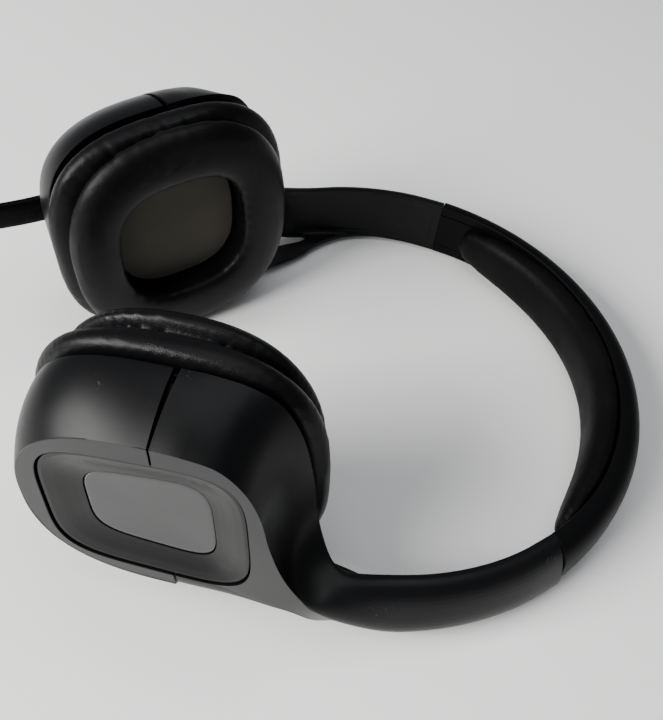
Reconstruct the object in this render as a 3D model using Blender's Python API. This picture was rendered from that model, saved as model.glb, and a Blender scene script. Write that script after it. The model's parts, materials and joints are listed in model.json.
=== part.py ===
"""Wireless office headset with a microphone boom, lying on its side.

Lengths below are in millimetres and are turned into metres when a mesh is made. The headset is laid out in its own
frame: +X towards the crown, +Y towards the left ear cup (the one with the boom), +Z square to the band's mid-plane.
An empty at the top tips that frame by a small angle, so that the band's edge and both cups rest on one plane.
"""
import math

import bmesh
import bpy
from mathutils import Vector

MM = 0.001
RIGHT, LEFT = -1, 1
SIDE_NAME = {RIGHT: "right", LEFT: "left"}
TIP_ANGLE = math.radians(1.5)
GAP = 0.3

# headband: a D-shaped section swept round a circle, its flat face towards the head
BAND_CENTRE = 54.0
BAND_RADIUS = 84.4
BAND_DEPTH = 8.6
BAND_HALF_WIDTH = 10.6
ARM_HALF_WIDTH = 11.2
D_ROUNDNESS = 2.6
SLEEVE_END = 62.0
SLEEVE_STEP = 0.5
CHANNEL_HALF_WIDTH = 7.6
CHANNEL_DEPTH = 5.6
COVER_THICKNESS = 1.1
TONGUE_START = 34.0
PLUG_START = 59.4
PAD_HALF_ANGLE = 55.0
PAD_DEPTH = 9.5

# where an ear cup sits: its centre, its toe-in seen from above and its turn in its own plane
CUP_X, CUP_OUT, CUP_Z = -16.0, 57.8, 29.0
TOE_IN = 0.39
CUP_TURN = 0.098

# outlines in the cup's own plane: half length, half width, roundness, shift along the length, shift across, taper
RIM = (40.9, 40.8, 3.0, 0.6, 0.0, 0.01)
RING = (37.3, 31.9, 2.5, 0.0, 0.6, 0.01)
PLATE = (28.1, 25.3, 4.1, -2.5, 0.0, 0.06)
INSET = (17.7, 15.9, 4.2, -2.1, 0.0, 0.12)
REAR_LOBE = (42.2, 42.7, 2.8, -1.0, 0.0, 0.01)
GROOVE = (38.9, 41.3, 2.35, -1.0, 0.0, 0.01)
FRONT_LOBE = (39.2, 42.9, 2.45, -1.0, 0.0, 0.01)
EAR_OPENING = (21.7, 23.2, 2.8, -1.7, 0.0, 0.01)
HOUSING = (31.5, 34.0, 2.8, -3.5, 0.0, 0.0)

# heights outwards from the cup's middle plane
RING_Q, PLATE_Q, INSET_Q, RIM_Q = 16.0, 15.3, 12.8, -3.5
GROOVE_Q, CUSHION_FRONT_Q = -15.3, -23.8
WALL = 2.2
PLATE_GAP = 0.45
SEAM_P_FACE, SEAM_P_RIM = 2.8, 4.0
SEAM_HALF_FACE, SEAM_HALF_RIM = 0.3, 0.9
TILT_P, TILT_Q = 8.0, 11.0
PIN_RADIUS = 1.4

BOOM_P, BOOM_S = -2.0, -4.0
BOOM_HUB_RADIUS = 11.0
BOOM_Q0, BOOM_Q1 = 18.0, 21.6
BOOM_LENGTH = 118.0
BOOM_FORWARD, BOOM_INWARD = 0.0035, 0.0035

materials = {}
pieces = []


def clear_scene():
    for obj in list(bpy.data.objects):
        bpy.data.objects.remove(obj, do_unlink=True)


def material(name, colour, roughness, metallic=0.0):
    """One Principled material per finish, made once."""
    if name not in materials:
        made = bpy.data.materials.new(name)
        made.use_nodes = True
        shader = made.node_tree.nodes["Principled BSDF"]
        shader.inputs["Base Color"].default_value = (*colour, 1.0)
        shader.inputs["Roughness"].default_value = roughness
        shader.inputs["Metallic"].default_value = metallic
        materials[name] = made
    return materials[name]


FINISHES = {
    "shell": ((0.045, 0.047, 0.050), 0.42, 0.0),
    "face": ((0.16, 0.165, 0.17), 0.35, 0.0),
    "gloss": ((0.20, 0.205, 0.21), 0.18, 0.0),
    "leatherette": ((0.018, 0.018, 0.020), 0.50, 0.0),
    "cloth": ((0.10, 0.085, 0.07), 0.95, 0.0),
    "inner": ((0.03, 0.03, 0.032), 0.60, 0.0),
    "steel": ((0.60, 0.60, 0.62), 0.30, 1.0),
    "board": ((0.02, 0.12, 0.05), 0.50, 0.0),
    "cell": ((0.25, 0.27, 0.30), 0.35, 0.3),
    "film": ((0.45, 0.30, 0.12), 0.40, 0.0),
}


def empty(name, location, parent=None):
    """An empty at a place in the headset's frame; its children's meshes are measured from it."""
    made = bpy.data.objects.new(name, None)
    bpy.context.scene.collection.objects.link(made)
    made["place"] = [float(value) for value in location]
    if parent is not None:
        made.parent = parent
        made.location = (Vector(location) - Vector(parent["place"])) * MM
    return made


def piece(name, points, faces, finish, parent, smooth=35.0):
    """A closed body from points in the headset's frame, in millimetres."""
    place = Vector(parent["place"])
    mesh = bpy.data.meshes.new(name)
    mesh.from_pydata([(Vector(point) - place) * MM for point in points], [], faces)
    tidy = bmesh.new()
    tidy.from_mesh(mesh)
    bmesh.ops.recalc_face_normals(tidy, faces=tidy.faces)
    if tidy.calc_volume(signed=True) < 0:
        bmesh.ops.reverse_faces(tidy, faces=tidy.faces)
    tidy.to_mesh(mesh)
    tidy.free()
    mesh.shade_smooth()
    mesh.set_sharp_from_angle(angle=math.radians(smooth))
    made = bpy.data.objects.new(name, mesh)
    bpy.context.scene.collection.objects.link(made)
    made.parent = parent
    mesh.materials.append(material(finish, *FINISHES[finish]))
    pieces.append(made)
    return made


def cut(target, cutter, operation="DIFFERENCE"):
    """A Boolean with a hidden cutter, which is left in the scene as a guide."""
    step = target.modifiers.new(cutter.name, "BOOLEAN")
    step.operation = operation
    step.object = cutter
    cutter.hide_render = True
    cutter.display_type = "WIRE"
    if cutter in pieces:
        pieces.remove(cutter)


# ---------------------------------------------------------------- ways to make a surface
def loft(loops, ring=False):
    """Points and faces of a skin over closed loops of equal length; ring joins the last loop to the first."""
    count = len(loops[0])
    points = [point for loop in loops for point in loop]
    faces = []
    for row in range(len(loops) if ring else len(loops) - 1):
        below, above = row * count, ((row + 1) % len(loops)) * count
        for k in range(count):
            n = (k + 1) % count
            faces.append((below + k, below + n, above + n, above + k))
    if not ring:
        faces.append(tuple(reversed(range(count))))
        faces.append(tuple(range(len(points) - count, len(points))))
    return points, faces


def smooth_row(rows, t):
    """A Catmull-Rom curve through rows of numbers, at t from 0 to 1."""
    last = len(rows) - 1
    k = min(int(t * last), last - 1)
    f = t * last - k
    p0, p1, p2, p3 = (rows[min(max(k + d, 0), last)] for d in (-1, 0, 1, 2))
    out = []
    for a, b, c, d in zip(p0, p1, p2, p3):
        out.append(0.5 * (2 * b + (c - a) * f + (2 * a - 5 * b + 4 * c - d) * f * f
                          + (3 * b - a - 3 * c + d) * f ** 3))
    return tuple(out)


# ---------------------------------------------------------------- the band's and the cup's own coordinates
def band_point(side, angle, out, z):
    """A point beside the band's circle: angle in degrees from the crown, out from the inner face, z across."""
    a = math.radians(angle)
    r = BAND_RADIUS + out
    return (BAND_CENTRE + r * math.cos(a), side * r * math.sin(a), z)


def cup_point(side, p, q, s):
    """A point of an ear cup: p towards the crown, q outwards from the head, s across (up, as it lies)."""
    along = p * math.cos(CUP_TURN) - s * math.sin(CUP_TURN)
    up = p * math.sin(CUP_TURN) + s * math.cos(CUP_TURN)
    x = CUP_X + along * math.cos(TOE_IN) - q * math.sin(TOE_IN)
    out = CUP_OUT + along * math.sin(TOE_IN) + q * math.cos(TOE_IN)
    return (x, side * out, CUP_Z + up)


def outline_point(shape, angle, grow=0.0):
    """A point on a rounded, slightly tapered outline; grow moves it outwards."""
    a, b, n, p0, s0, taper = shape
    c, s = math.cos(angle), math.sin(angle)
    p = (a + grow) * math.copysign(abs(c) ** (2 / n), c)
    across = (b + grow) * math.copysign(abs(s) ** (2 / n), s)
    return p + p0, across * (1 + taper * p / a) + s0


def outline_angle(shape, p, grow=0.0):
    """The angle at which an outline's upper half has this p."""
    a, _, n, p0, _, _ = shape
    ratio = (p - p0) / (a + grow)
    return math.acos(math.copysign(abs(ratio) ** (n / 2), ratio))


def outline_loop(side, shape, q, count=40, grow=0.0, start=0.013):
    """A closed outline at height q. The start angle keeps points off the outline's four flat spots."""
    loop = []
    for k in range(count):
        p, s = outline_point(shape, start + 2 * math.pi * k / count, grow)
        loop.append(cup_point(side, p, q, s))
    return loop


def cup_stack(side, rows, count=40, ring=False):
    """A skin over outlines given as (shape, grow, q)."""
    return loft([outline_loop(side, shape, q, count, grow) for shape, grow, q in rows], ring)


def round_stack(side, rows, p=0.0, s=0.0, count=24, ring=False):
    """A turned form on an axis square to the cup's face: rows of (radius, q)."""
    loops = []
    for radius, q in rows:
        loops.append([cup_point(side, p + radius * math.cos(2 * math.pi * k / count), q,
                                s + radius * math.sin(2 * math.pi * k / count)) for k in range(count)])
    return loft(loops, ring)


def cup_block(side, centre, half):
    """A box in cup coordinates: centre and half sizes as (p, q, s)."""
    loops = []
    for dq in (-1, 1):
        loops.append([cup_point(side, centre[0] + dp * half[0], centre[1] + dq * half[1], centre[2] + ds * half[2])
                      for dp, ds in ((-1, -1), (1, -1), (1, 1), (-1, 1))])
    return loft(loops)


# ---------------------------------------------------------------- headband
def d_depth(z, half_width, depth):
    """How far the D-shaped outer face stands out at z."""
    return depth * max(0.0, 1 - abs(z / half_width) ** D_ROUNDNESS) ** (1 / D_ROUNDNESS)


def d_outer(half_width, depth, count, start=0.0):
    """(out, z) pairs over the outer face, from the upper edge to the lower one."""
    row = []
    for k in range(count + 1):
        z = half_width * math.cos(math.pi * k / count)
        row.append((start + d_depth(z, half_width, depth), z))
    return row


def band_width(angle):
    """The band widens a little from the crown to the sleeves."""
    return BAND_HALF_WIDTH + (ARM_HALF_WIDTH + SLEEVE_STEP - BAND_HALF_WIDTH) * (abs(angle) / SLEEVE_END) ** 2


def band_sweep(section, first, last, steps):
    """Sweeps (out, z) pairs round the band's circle. section is a function of the angle."""
    loops = []
    for k in range(steps + 1):
        angle = first + (last - first) * k / steps
        loops.append([band_point(1, angle, out, z) for out, z in section(angle)])
    return loft(loops)


def band_shell_section(angle):
    half = band_width(angle)
    inner = [(0.0, -CHANNEL_HALF_WIDTH), (CHANNEL_DEPTH, -CHANNEL_HALF_WIDTH),
             (CHANNEL_DEPTH, CHANNEL_HALF_WIDTH), (0.0, CHANNEL_HALF_WIDTH)]
    return d_outer(half, BAND_DEPTH + SLEEVE_STEP, 12) + inner


def strip(out0, out1, half_width):
    return lambda angle: [(out0, half_width), (out1, half_width), (out1, -half_width), (out0, -half_width)]


def strip_loop(side, angle, out0, out1, half_width):
    return [band_point(side, angle, out, z)
            for out, z in ((out0, half_width), (out1, half_width), (out1, -half_width), (out0, -half_width))]


def pad_section(angle):
    """A soft, rounded strip on the inner face, thickest at the crown and thin at its ends."""
    ease = max(0.0, 1 - (abs(angle) / PAD_HALF_ANGLE) ** 4)
    depth = 1.2 + (PAD_DEPTH - 1.2) * math.sqrt(ease)
    half = 4.0 + (BAND_HALF_WIDTH + 0.6 - 4.0) * math.sqrt(ease)
    row = [(-GAP, half * 0.94), (-GAP, -half * 0.94)]
    for k in range(9):
        turn = math.pi * (0.5 - k / 8)
        across = -half * math.copysign(abs(math.sin(turn)) ** 0.6, math.sin(turn))
        row.append((-GAP - 0.5 - depth * abs(math.cos(turn)) ** 0.6, across))
    return row


def build_band(root):
    piece("band_outer_shell", *band_sweep(band_shell_section, -SLEEVE_END, SLEEVE_END, 30), "shell", root)
    cover = strip(0.1, COVER_THICKNESS, CHANNEL_HALF_WIDTH - GAP)
    piece("band_inner_cover", *band_sweep(cover, -SLEEVE_END, SLEEVE_END, 24), "inner", root)
    reach = TONGUE_START - 2.0
    piece("band_spring", *band_sweep(strip(2.6, 3.4, 5.5), -reach, reach, 20), "steel", root)
    piece("band_ribbon_cable", *band_sweep(strip(1.6, 2.0, 3.0), -reach, reach, 20), "film", root)
    piece("head_pad", *band_sweep(pad_section, -PAD_HALF_ANGLE, PAD_HALF_ANGLE, 26), "leatherette", root)
    for side in (RIGHT, LEFT):
        first, last = side * (SLEEVE_END - 14.0), side * (SLEEVE_END - 4.0)
        spring = band_sweep(strip(4.5, 5.2, 2.5), first, last, 5)
        piece(f"{SIDE_NAME[side]}_detent_spring", *spring, "steel", root)


# ---------------------------------------------------------------- arms and yokes
ARM_START = SLEEVE_END + 0.25
# the window through the floor between yoke and arm: corners as (x, distance out)
WINDOW = ((19.0, 72.6), (19.4, 70.4), (21.2, 69.6), (38.2, 77.8), (40.4, 79.6), (40.8, 81.2), (39.4, 82.5),
          (37.0, 82.2), (27.2, 79.1), (21.0, 76.0))


def on_rim(p, grow=0.0, below=False):
    angle = outline_angle(RIM, p, grow)
    p, s = outline_point(RIM, -angle if below else angle, grow)
    return p, s


def on_ring(p, grow=0.0, below=False):
    angle = outline_angle(RING, p, grow)
    p, s = outline_point(RING, -angle if below else angle, grow)
    return p, s


def cup_corner(place, q):
    return cup_point(1, place[0], q, place[1])


def arm_corner(angle, out, z):
    return band_point(1, angle, out, z)


def yoke_stations():
    """The rails that the arm is stretched over, from the seam beside the cup to the sleeve of the band.

    Each station is (top rim, upper crease, lower crease, foot, bulge, solid). The top rim leaves the cup's rim near
    its crown end and drops to the arm's upper edge. The two creases bound the flat face round the plate, which
    narrows and fades out into the arm's lower edge. The foot runs from the rim's table side straight to the band.
    bulge is how far the wall between top rim and crease stands out, and solid goes from 0, a shell, to 1, full.
    """
    def on_face(p, s):
        return cup_corner((p, s), RING_Q)

    yoke = [
        (cup_corner(on_rim(SEAM_P_RIM + SEAM_HALF_RIM), RIM_Q), on_face(*on_ring(SEAM_P_FACE + SEAM_HALF_FACE)),
         on_face(*on_ring(SEAM_P_FACE + SEAM_HALF_FACE, below=True)),
         cup_corner(on_rim(SEAM_P_RIM + SEAM_HALF_RIM, below=True), RIM_Q), 1.6, 0.0),
        (cup_corner(on_rim(13.5), RIM_Q), on_face(*on_ring(11.5)), on_face(8.5, -31.3), (-2.5, 59.8, -10.8), 1.2, 0.0),
        (cup_corner(on_rim(23.0), RIM_Q), on_face(*on_ring(20.0)), on_face(13.0, -31.3), (2.0, 60.2, -11.2), 0.4, 0.0),
        (cup_corner((30.4, 33.9), RIM_Q), on_face(26.2, 22.6), on_face(16.5, -31.3), (6.5, 60.7, -11.6), -0.8, 0.0),
        (cup_corner((35.4, 23.0), RIM_Q), on_face(29.6, 12.6), on_face(19.5, -31.4), (10.5, 61.3, -11.9), -1.9, 0.0),
    ]
    neck = [
        (cup_corner((38.1, 7.0), RIM_Q), on_face(31.2, 1.0), on_face(22.8, -31.5), (15.0, 62.1, -12.1), -2.6, 0.0),
        (cup_corner((39.3, -7.5), -2.9), on_face(33.4, -9.5), on_face(26.6, -31.8), (20.0, 63.5, -12.1), -3.0, 0.0),
        (cup_corner((41.4, -14.5), -0.4), on_face(36.2, -17.5), on_face(31.0, -32.2), (26.0, 65.7, -12.0), -3.0, 0.0),
        (cup_corner((45.1, -20.2), 3.4), on_face(40.6, -25.0), (14.8, 87.5, 0.0), (33.0, 69.0, -12.0), -2.0, 0.3),
        ((30.2, 81.9, 11.4), (22.6, 90.4, 2.5), (22.0, 88.3, -5.2), (39.5, 72.7, -11.9), 0.6, 0.75),
    ]
    arm = []
    for crease, low_crease, foot, foot_out in ((98.5, 104.5, 97.1, -7.0), (91.0, 95.0, 88.5, -1.8),
                                               (84.0, 86.5, 80.5, 0.0), (77.0, 78.0, 75.0, 0.0),
                                               (70.0, 70.2, 69.5, 0.0), (ARM_START, ARM_START, ARM_START, 0.0)):
        arm.append((arm_corner(crease, 0.0, ARM_HALF_WIDTH), arm_corner(crease, 5.8, -9.0),
                    arm_corner(low_crease, 3.4, -10.7), arm_corner(foot, foot_out, -ARM_HALF_WIDTH), 4.2, 1.0))
    return yoke + neck + arm


SECTION_STEPS = (6, 3, 4)
D_BULGE = 5.9


def wall_profile(t, solid):
    """How the wall's bulge is spread between its two edges: an even arch on the yoke, a full D on the arm."""
    arch = 4 * t * (1 - t)
    full = max(0.0, 1 - abs(2 * t - 1) ** D_ROUNDNESS) ** (1 / D_ROUNDNESS)
    return arch + (full - arch) * solid


def arm_row(t, stations):
    """One open section of the arm's outer side at t, from 0 at the seam to 1 at the sleeve, with its rails."""
    def rail(k, at):
        return Vector(smooth_row([station[k] for station in stations], min(max(at, 0.0), 1.0)))

    top, crease, low_crease, foot = (rail(k, t) for k in range(4))
    bulge, solid = smooth_row([station[4:] for station in stations], t)
    solid = min(max(solid, 0.0), 1.0)
    step = 0.004
    travel = sum(((rail(k, t + step) - rail(k, t - step)).normalized() for k in (0, 1)), Vector())
    normal = travel.cross(crease - top).normalized()
    depth = bulge * (1 - solid) + D_BULGE * solid
    n_wall, n_face, n_foot = SECTION_STEPS
    row = []
    for k in range(n_wall):
        even = k / n_wall
        f = even + (0.5 - 0.5 * math.cos(math.pi * even) - even) * solid
        row.append(top.lerp(crease, f) + normal * depth * wall_profile(f, solid))
    row += [crease.lerp(low_crease, k / n_face) for k in range(n_face)]
    row += [low_crease.lerp(foot, k / n_foot) for k in range(n_foot + 1)]
    return row, (top, low_crease, foot), solid


def grid_normals(rows):
    """Unit normals of a grid of points, from the differences between neighbours."""
    normals = []
    for i, row in enumerate(rows):
        before, after = rows[max(i - 1, 0)], rows[min(i + 1, len(rows) - 1)]
        line = []
        for k in range(len(row)):
            across = row[min(k + 1, len(row) - 1)] - row[max(k - 1, 0)]
            line.append((after[k] - before[k]).cross(across).normalized())
        normals.append(line)
    return normals


def arm_loops(side, steps):
    """Closed sections of the whole arm, from the seam beside the cup to the sleeve of the band."""
    stations = yoke_stations()
    made = [arm_row(k / steps, stations) for k in range(steps + 1)]
    normals = grid_normals([row for row, _, _ in made])
    loops = []
    for (row, rails, solid), line in zip(made, normals):
        inside = arm_inside(row, line, rails, solid)
        loops.append([(point.x, side * point.y, point.z) for point in row + inside])
    return loops


def along_path(path, share):
    """A point at a share of a path's length, from its first point."""
    lengths = [(b - a).length for a, b in zip(path, path[1:])]
    left = share * sum(lengths)
    for (a, b), length in zip(zip(path, path[1:]), lengths):
        if left <= length:
            return a.lerp(b, left / max(length, 1e-6))
        left -= length
    return Vector(path[-1])


def arm_inside(row, normals, rails, solid):
    """The section's inner side, from foot to top: a wall's thickness in, or flat where the arm is solid."""
    top, low_crease, foot = rails
    reach = [math.hypot(end.x - BAND_CENTRE, end.y) for end in (low_crease, foot)]
    share = (reach[0] - BAND_RADIUS) / max(reach[0] - reach[1], 0.1)
    corner = low_crease.lerp(foot, min(max(share, 0.0), 1.0)) + Vector((0, 0, WALL))
    flange = min(1.0, (corner - foot).length / 8.0)
    foot_top = foot + Vector((0, 0, 0.9 + 1.1 * flange))
    path = [foot_top, corner, top + Vector((0, 0, -1.2))]
    last = len(row) - 1
    inside = []
    for k, (point, normal) in enumerate(zip(row, normals)):
        shell = point - normal * WALL
        inside.append(shell.lerp(along_path(path, 1 - k / last), solid))
    return list(reversed(inside))


def stub(side, p, q, s0, s1, radius, count=16):
    """A round pin square to the cup's length, running across it from s0 to s1."""
    loops = []
    for s in (s0, s1):
        loops.append([cup_point(side, p + radius * math.cos(2 * math.pi * k / count),
                                q + radius * math.sin(2 * math.pi * k / count), s) for k in range(count)])
    return loft(loops)


def tilt_bores(side, body):
    """The two blind bores that the tilt pins run in."""
    upper = piece(f"{SIDE_NAME[side]}_upper_bore", *stub(side, TILT_P, TILT_Q, 25.8, 33.1, PIN_RADIUS + GAP),
                  "inner", body)
    lower = piece(f"{SIDE_NAME[side]}_lower_bore", *stub(side, TILT_P, TILT_Q, -25.8, -31.9, PIN_RADIUS + GAP),
                  "inner", body)
    return upper, lower


def build_arm(side, body, bores, steps=30):
    name = SIDE_NAME[side]
    arm = piece(f"{name}_yoke_arm", *loft(arm_loops(side, steps)), "shell", body)
    opening = cup_stack(side, [(PLATE, PLATE_GAP, RING_Q - 6.0), (PLATE, PLATE_GAP, RING_Q + 4.0)])
    cut(arm, piece(f"{name}_yoke_opening", *opening, "inner", body))
    for end, centre, half in (("upper", 32.1, 1.4), ("lower", -31.35, 1.05)):
        ear = cup_block(side, (TILT_P, 10.8, centre), (2.6, 2.25, half))
        cut(arm, piece(f"{name}_{end}_yoke_ear", *ear, "inner", body), "UNION")
    for bore in bores:
        cut(arm, bore)
    window = [(x, side * out, z) for z in (-18.0, -3.5) for x, out in WINDOW]
    cut(arm, piece(f"{name}_floor_window", *loft([window[:len(WINDOW)], window[len(WINDOW):]]), "inner", body))
    first, last = side * (ARM_START + 2.0), side * 96.0
    recess = band_sweep(strip(-2.0, 1.2, 7.8), first, last, 12)
    cut(arm, piece(f"{name}_cover_recess", *recess, "inner", body))
    pocket = band_sweep(strip(1.1, 5.6, 7.6), side * (SLEEVE_END - 1.0), side * (ARM_START + 4.6), 3)
    cut(arm, piece(f"{name}_tongue_pocket", *pocket, "inner", body))
    cover = band_sweep(strip(0.0, 0.9, 7.5), first + side * 0.2, last - side * 0.2, 12)
    piece(f"{name}_arm_inner_cover", *cover, "shell", body)
    tongue = [strip_loop(side, TONGUE_START + (PLUG_START - TONGUE_START) * k / 10, 1.5, 3.9, 6.8) for k in range(11)]
    tongue += [strip_loop(side, angle, 1.45, 5.2, 7.2) for angle in (PLUG_START + 0.3, SLEEVE_END, ARM_START + 4.2)]
    piece(f"{name}_slide_tongue", *loft(tongue), "steel", body)
    piece(f"{name}_upper_pivot_pin", *stub(side, TILT_P, TILT_Q, 26.6, 32.8, PIN_RADIUS), "steel", body)
    piece(f"{name}_lower_pivot_pin", *stub(side, TILT_P, TILT_Q, -26.6, -31.6, PIN_RADIUS), "steel", body)


# ---------------------------------------------------------------- ear cups
def shell_edge(shape, grow, seam_p, share):
    """A point of an outline, share of the way round from the upper seam to the lower one."""
    start = outline_angle(shape, seam_p, grow)
    return Vector(outline_point(shape, start + (2 * math.pi - 2 * start) * share, grow))


def shell_wall(share, f, inset=0.0, q_face=RING_Q, bulge=1.6):
    """A point (p, q, s) of the front shell's wall, f of the way from its rim to its face."""
    swell = bulge * 4 * f * (1 - f) - inset
    rim = shell_edge(RIM, swell, SEAM_P_RIM - SEAM_HALF_RIM, share)
    face = shell_edge(RING, swell, SEAM_P_FACE - SEAM_HALF_FACE, share)
    place = rim.lerp(face, f)
    return Vector((place.x, RIM_Q + (q_face - RIM_Q) * f, place.y))


def shell_row(side, share, walls=4):
    """One section of the front shell."""
    under = RING_Q - WALL
    opening = shell_edge(PLATE, PLATE_GAP, SEAM_P_FACE - SEAM_HALF_FACE, share)
    outer = [shell_wall(share, k / walls) for k in range(walls + 1)]
    inner = [shell_wall(share, 1 - k / walls, WALL, under) for k in range(walls + 1)]
    lip = [(opening.x, RING_Q, opening.y), (opening.x, under, opening.y)]
    return [cup_point(side, *place) for place in outer + lip + inner]


def build_front_shell(side, body, steps=28):
    loops = [shell_row(side, k / steps) for k in range(steps + 1)]
    return piece(f"{SIDE_NAME[side]}_front_shell", *loft(loops), "shell", body)


def build_housing(side, body, bores):
    name = SIDE_NAME[side]
    housing = piece(f"{name}_cup_housing", *cup_stack(side, [
        (HOUSING, -7.0, 8.6), (HOUSING, -2.5, 4.0), (HOUSING, -2.0, -4.1),
        (HOUSING, 0.0, -4.1), (HOUSING, -0.5, 4.5), (HOUSING, -5.0, 10.2)], 32), "inner", body)
    for end, centre, half in (("upper", 28.1, 2.1), ("lower", -27.7, 1.7)):
        ear = cup_block(side, (TILT_P, 10.6, centre), (3.2, 2.6, half))
        cut(housing, piece(f"{name}_{end}_housing_ear", *ear, "inner", body), "UNION")
    for bore in bores:
        cut(housing, bore)


def build_driver(side, body):
    """Baffle, loudspeaker, screws and the ring that the cushion clips on to."""
    name = SIDE_NAME[side]
    p0 = HOUSING[3]
    hole = (18.3, 18.3, 2.0, p0, 0.0, 0.0)
    baffle = piece(f"{name}_baffle", *cup_stack(side, [
        (HOUSING, -2.5, -2.4), (HOUSING, -2.5, -4.0), (hole, 0.0, -4.0), (hole, 0.0, -2.4)], 32, ring=True),
        "inner", body)
    for end, s in (("upper", 25.5), ("lower", -25.5)):
        bore = piece(f"{name}_{end}_screw_bore", *round_stack(side, [(1.3, -6.0), (1.3, 0.0)], p0, s, 12), "inner", body)
        cut(baffle, bore)
        screw = round_stack(side, [(1.0, -0.5), (1.0, -4.3), (2.2, -4.3), (2.0, -5.2)], p0, s, 12)
        piece(f"{name}_{end}_baffle_screw", *screw, "steel", body)
    piece(f"{name}_driver_basket", *round_stack(side, [
        (11.2, 4.2), (11.2, 0.8), (14.0, -1.4), (16.5, -2.1), (20.5, -2.1),
        (20.5, -1.2), (15.5, -0.6), (13.0, 1.2), (13.0, 5.6)], p0), "inner", body)
    piece(f"{name}_driver_magnet", *round_stack(side, [(10.3, 0.2), (10.3, 3.6)], p0), "steel", body)
    piece(f"{name}_driver_diaphragm", *round_stack(side, [(17.6, -3.9), (17.6, -3.4), (9.0, -2.7)], p0), "film", body)
    piece(f"{name}_cushion_ring", *cup_stack(side, [
        (HOUSING, 2.5, -4.4), (HOUSING, 2.5, -5.0), (HOUSING, -3.0, -5.0), (HOUSING, -3.0, -4.4)], 32, ring=True),
        "inner", body)


def build_cushion(side, body):
    name = SIDE_NAME[side]
    piece(f"{name}_ear_cushion", *cup_stack(side, [
        (EAR_OPENING, 0.0, -21.2), (EAR_OPENING, 0.6, -16.0), (EAR_OPENING, 0.8, -12.0), (EAR_OPENING, 2.0, -7.5),
        (REAR_LOBE, -9.0, -6.6), (REAR_LOBE, -5.0, -5.6), (REAR_LOBE, -1.4, -6.6), (REAR_LOBE, 0.0, -9.4),
        (REAR_LOBE, -1.2, -13.2), (GROOVE, 0.0, GROOVE_Q), (FRONT_LOBE, 0.2, -17.6), (FRONT_LOBE, -0.9, -20.8),
        (FRONT_LOBE, -4.0, -23.2), (FRONT_LOBE, -7.0, CUSHION_FRONT_Q), (EAR_OPENING, 5.0, CUSHION_FRONT_Q),
        (EAR_OPENING, 1.6, -23.0)], 36, ring=True), "leatherette", body)
    piece(f"{name}_grille_cloth", *cup_stack(side, [(EAR_OPENING, -0.2, -12.8), (EAR_OPENING, -0.2, -12.2)], 28),
          "cloth", body)


def build_plate(side, body):
    piece(f"{SIDE_NAME[side]}_outer_plate", *cup_stack(side, [
        (PLATE, 0.0, 14.6), (PLATE, -0.6, PLATE_Q), (INSET, 4.5, 13.7), (INSET, 0.35, 12.9),
        (INSET, 0.35, 11.3), (PLATE, -0.3, 13.2)], 40, ring=True), "face", body)


def build_right_extras(cup_body, button_body):
    cap = cup_stack(RIGHT, [(INSET, 0.0, 11.8), (INSET, 0.0, 12.4), (INSET, -0.5, INSET_Q)], 36)
    piece("right_centre_button", *cap, "gloss", button_body)
    piece("right_button_switch", *round_stack(RIGHT, [(3.0, 10.5), (2.6, 10.9)], INSET[3], 0.0, 16), "steel", cup_body)
    piece("battery", *cup_block(RIGHT, (-1.5, 7.2, 0.0), (13.0, 1.0, 15.0)), "cell", cup_body)


# ---------------------------------------------------------------- controls on the left cup's lower wall
CONTROL_HEIGHT = 0.36
CONTROL_BASE, CONTROL_TOP = -2.6, 0.6
ROCKER_SHARE, MUTE_SHARE, POWER_SHARE = 0.961, 0.891, 0.836
POWER_TRAVEL = 1.2


def wall_frame(share):
    """The middle of a control on the left cup's lower wall, with the wall's directions along, up and out."""
    middle = shell_wall(share, CONTROL_HEIGHT)
    along = (shell_wall(share - 0.01, CONTROL_HEIGHT) - shell_wall(share + 0.01, CONTROL_HEIGHT)).normalized()
    up = (shell_wall(share, CONTROL_HEIGHT + 0.1) - shell_wall(share, CONTROL_HEIGHT - 0.1)).normalized()
    out = along.cross(up).normalized()
    return middle, along, up, out


def wall_pad(share, half_along, half_up, base, top, shift=0.0, count=20):
    """A rounded pad square to the wall, from depth base to top along the wall's outward direction."""
    middle, along, up, out = wall_frame(share)
    shape = (half_along, half_up, 4.0, shift, 0.0, 0.0)
    loops = []
    for height in (base, top):
        loop = []
        for k in range(count):
            a, b = outline_point(shape, 0.02 + 2 * math.pi * k / count)
            loop.append(cup_point(LEFT, *(middle + along * a + up * b + out * height)))
        loops.append(loop)
    return loft(loops)


def build_controls(front_shell, bodies, cup_body):
    for name, share, along, up, travel in (("volume_rocker", ROCKER_SHARE, 6.5, 2.4, 0.0),
                                           ("mute_button", MUTE_SHARE, 2.6, 2.4, 0.0),
                                           ("power_switch", POWER_SHARE, 2.0, 1.6, POWER_TRAVEL)):
        piece(name, *wall_pad(share, along, up, CONTROL_BASE, CONTROL_TOP), "face", bodies[name])
        half = travel / 2
        slot = wall_pad(share, along + half + GAP, up + GAP, -5.0, 3.0, half)
        cut(front_shell, piece(f"{name}_slot", *slot, "inner", cup_body))
    slot = cup_block(LEFT, (-38.5, 3.5, -14.0), (5.0, 1.6, 4.4))
    cut(front_shell, piece("charging_slot", *slot, "inner", cup_body))
    socket = piece("charging_socket", *cup_block(LEFT, (-38.0, 3.5, -14.0), (2.0, 1.3, 4.1)), "steel", cup_body)
    cut(socket, piece("charging_mouth", *cup_block(LEFT, (-39.0, 3.5, -14.0), (2.2, 0.9, 3.6)), "inner", cup_body))


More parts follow.
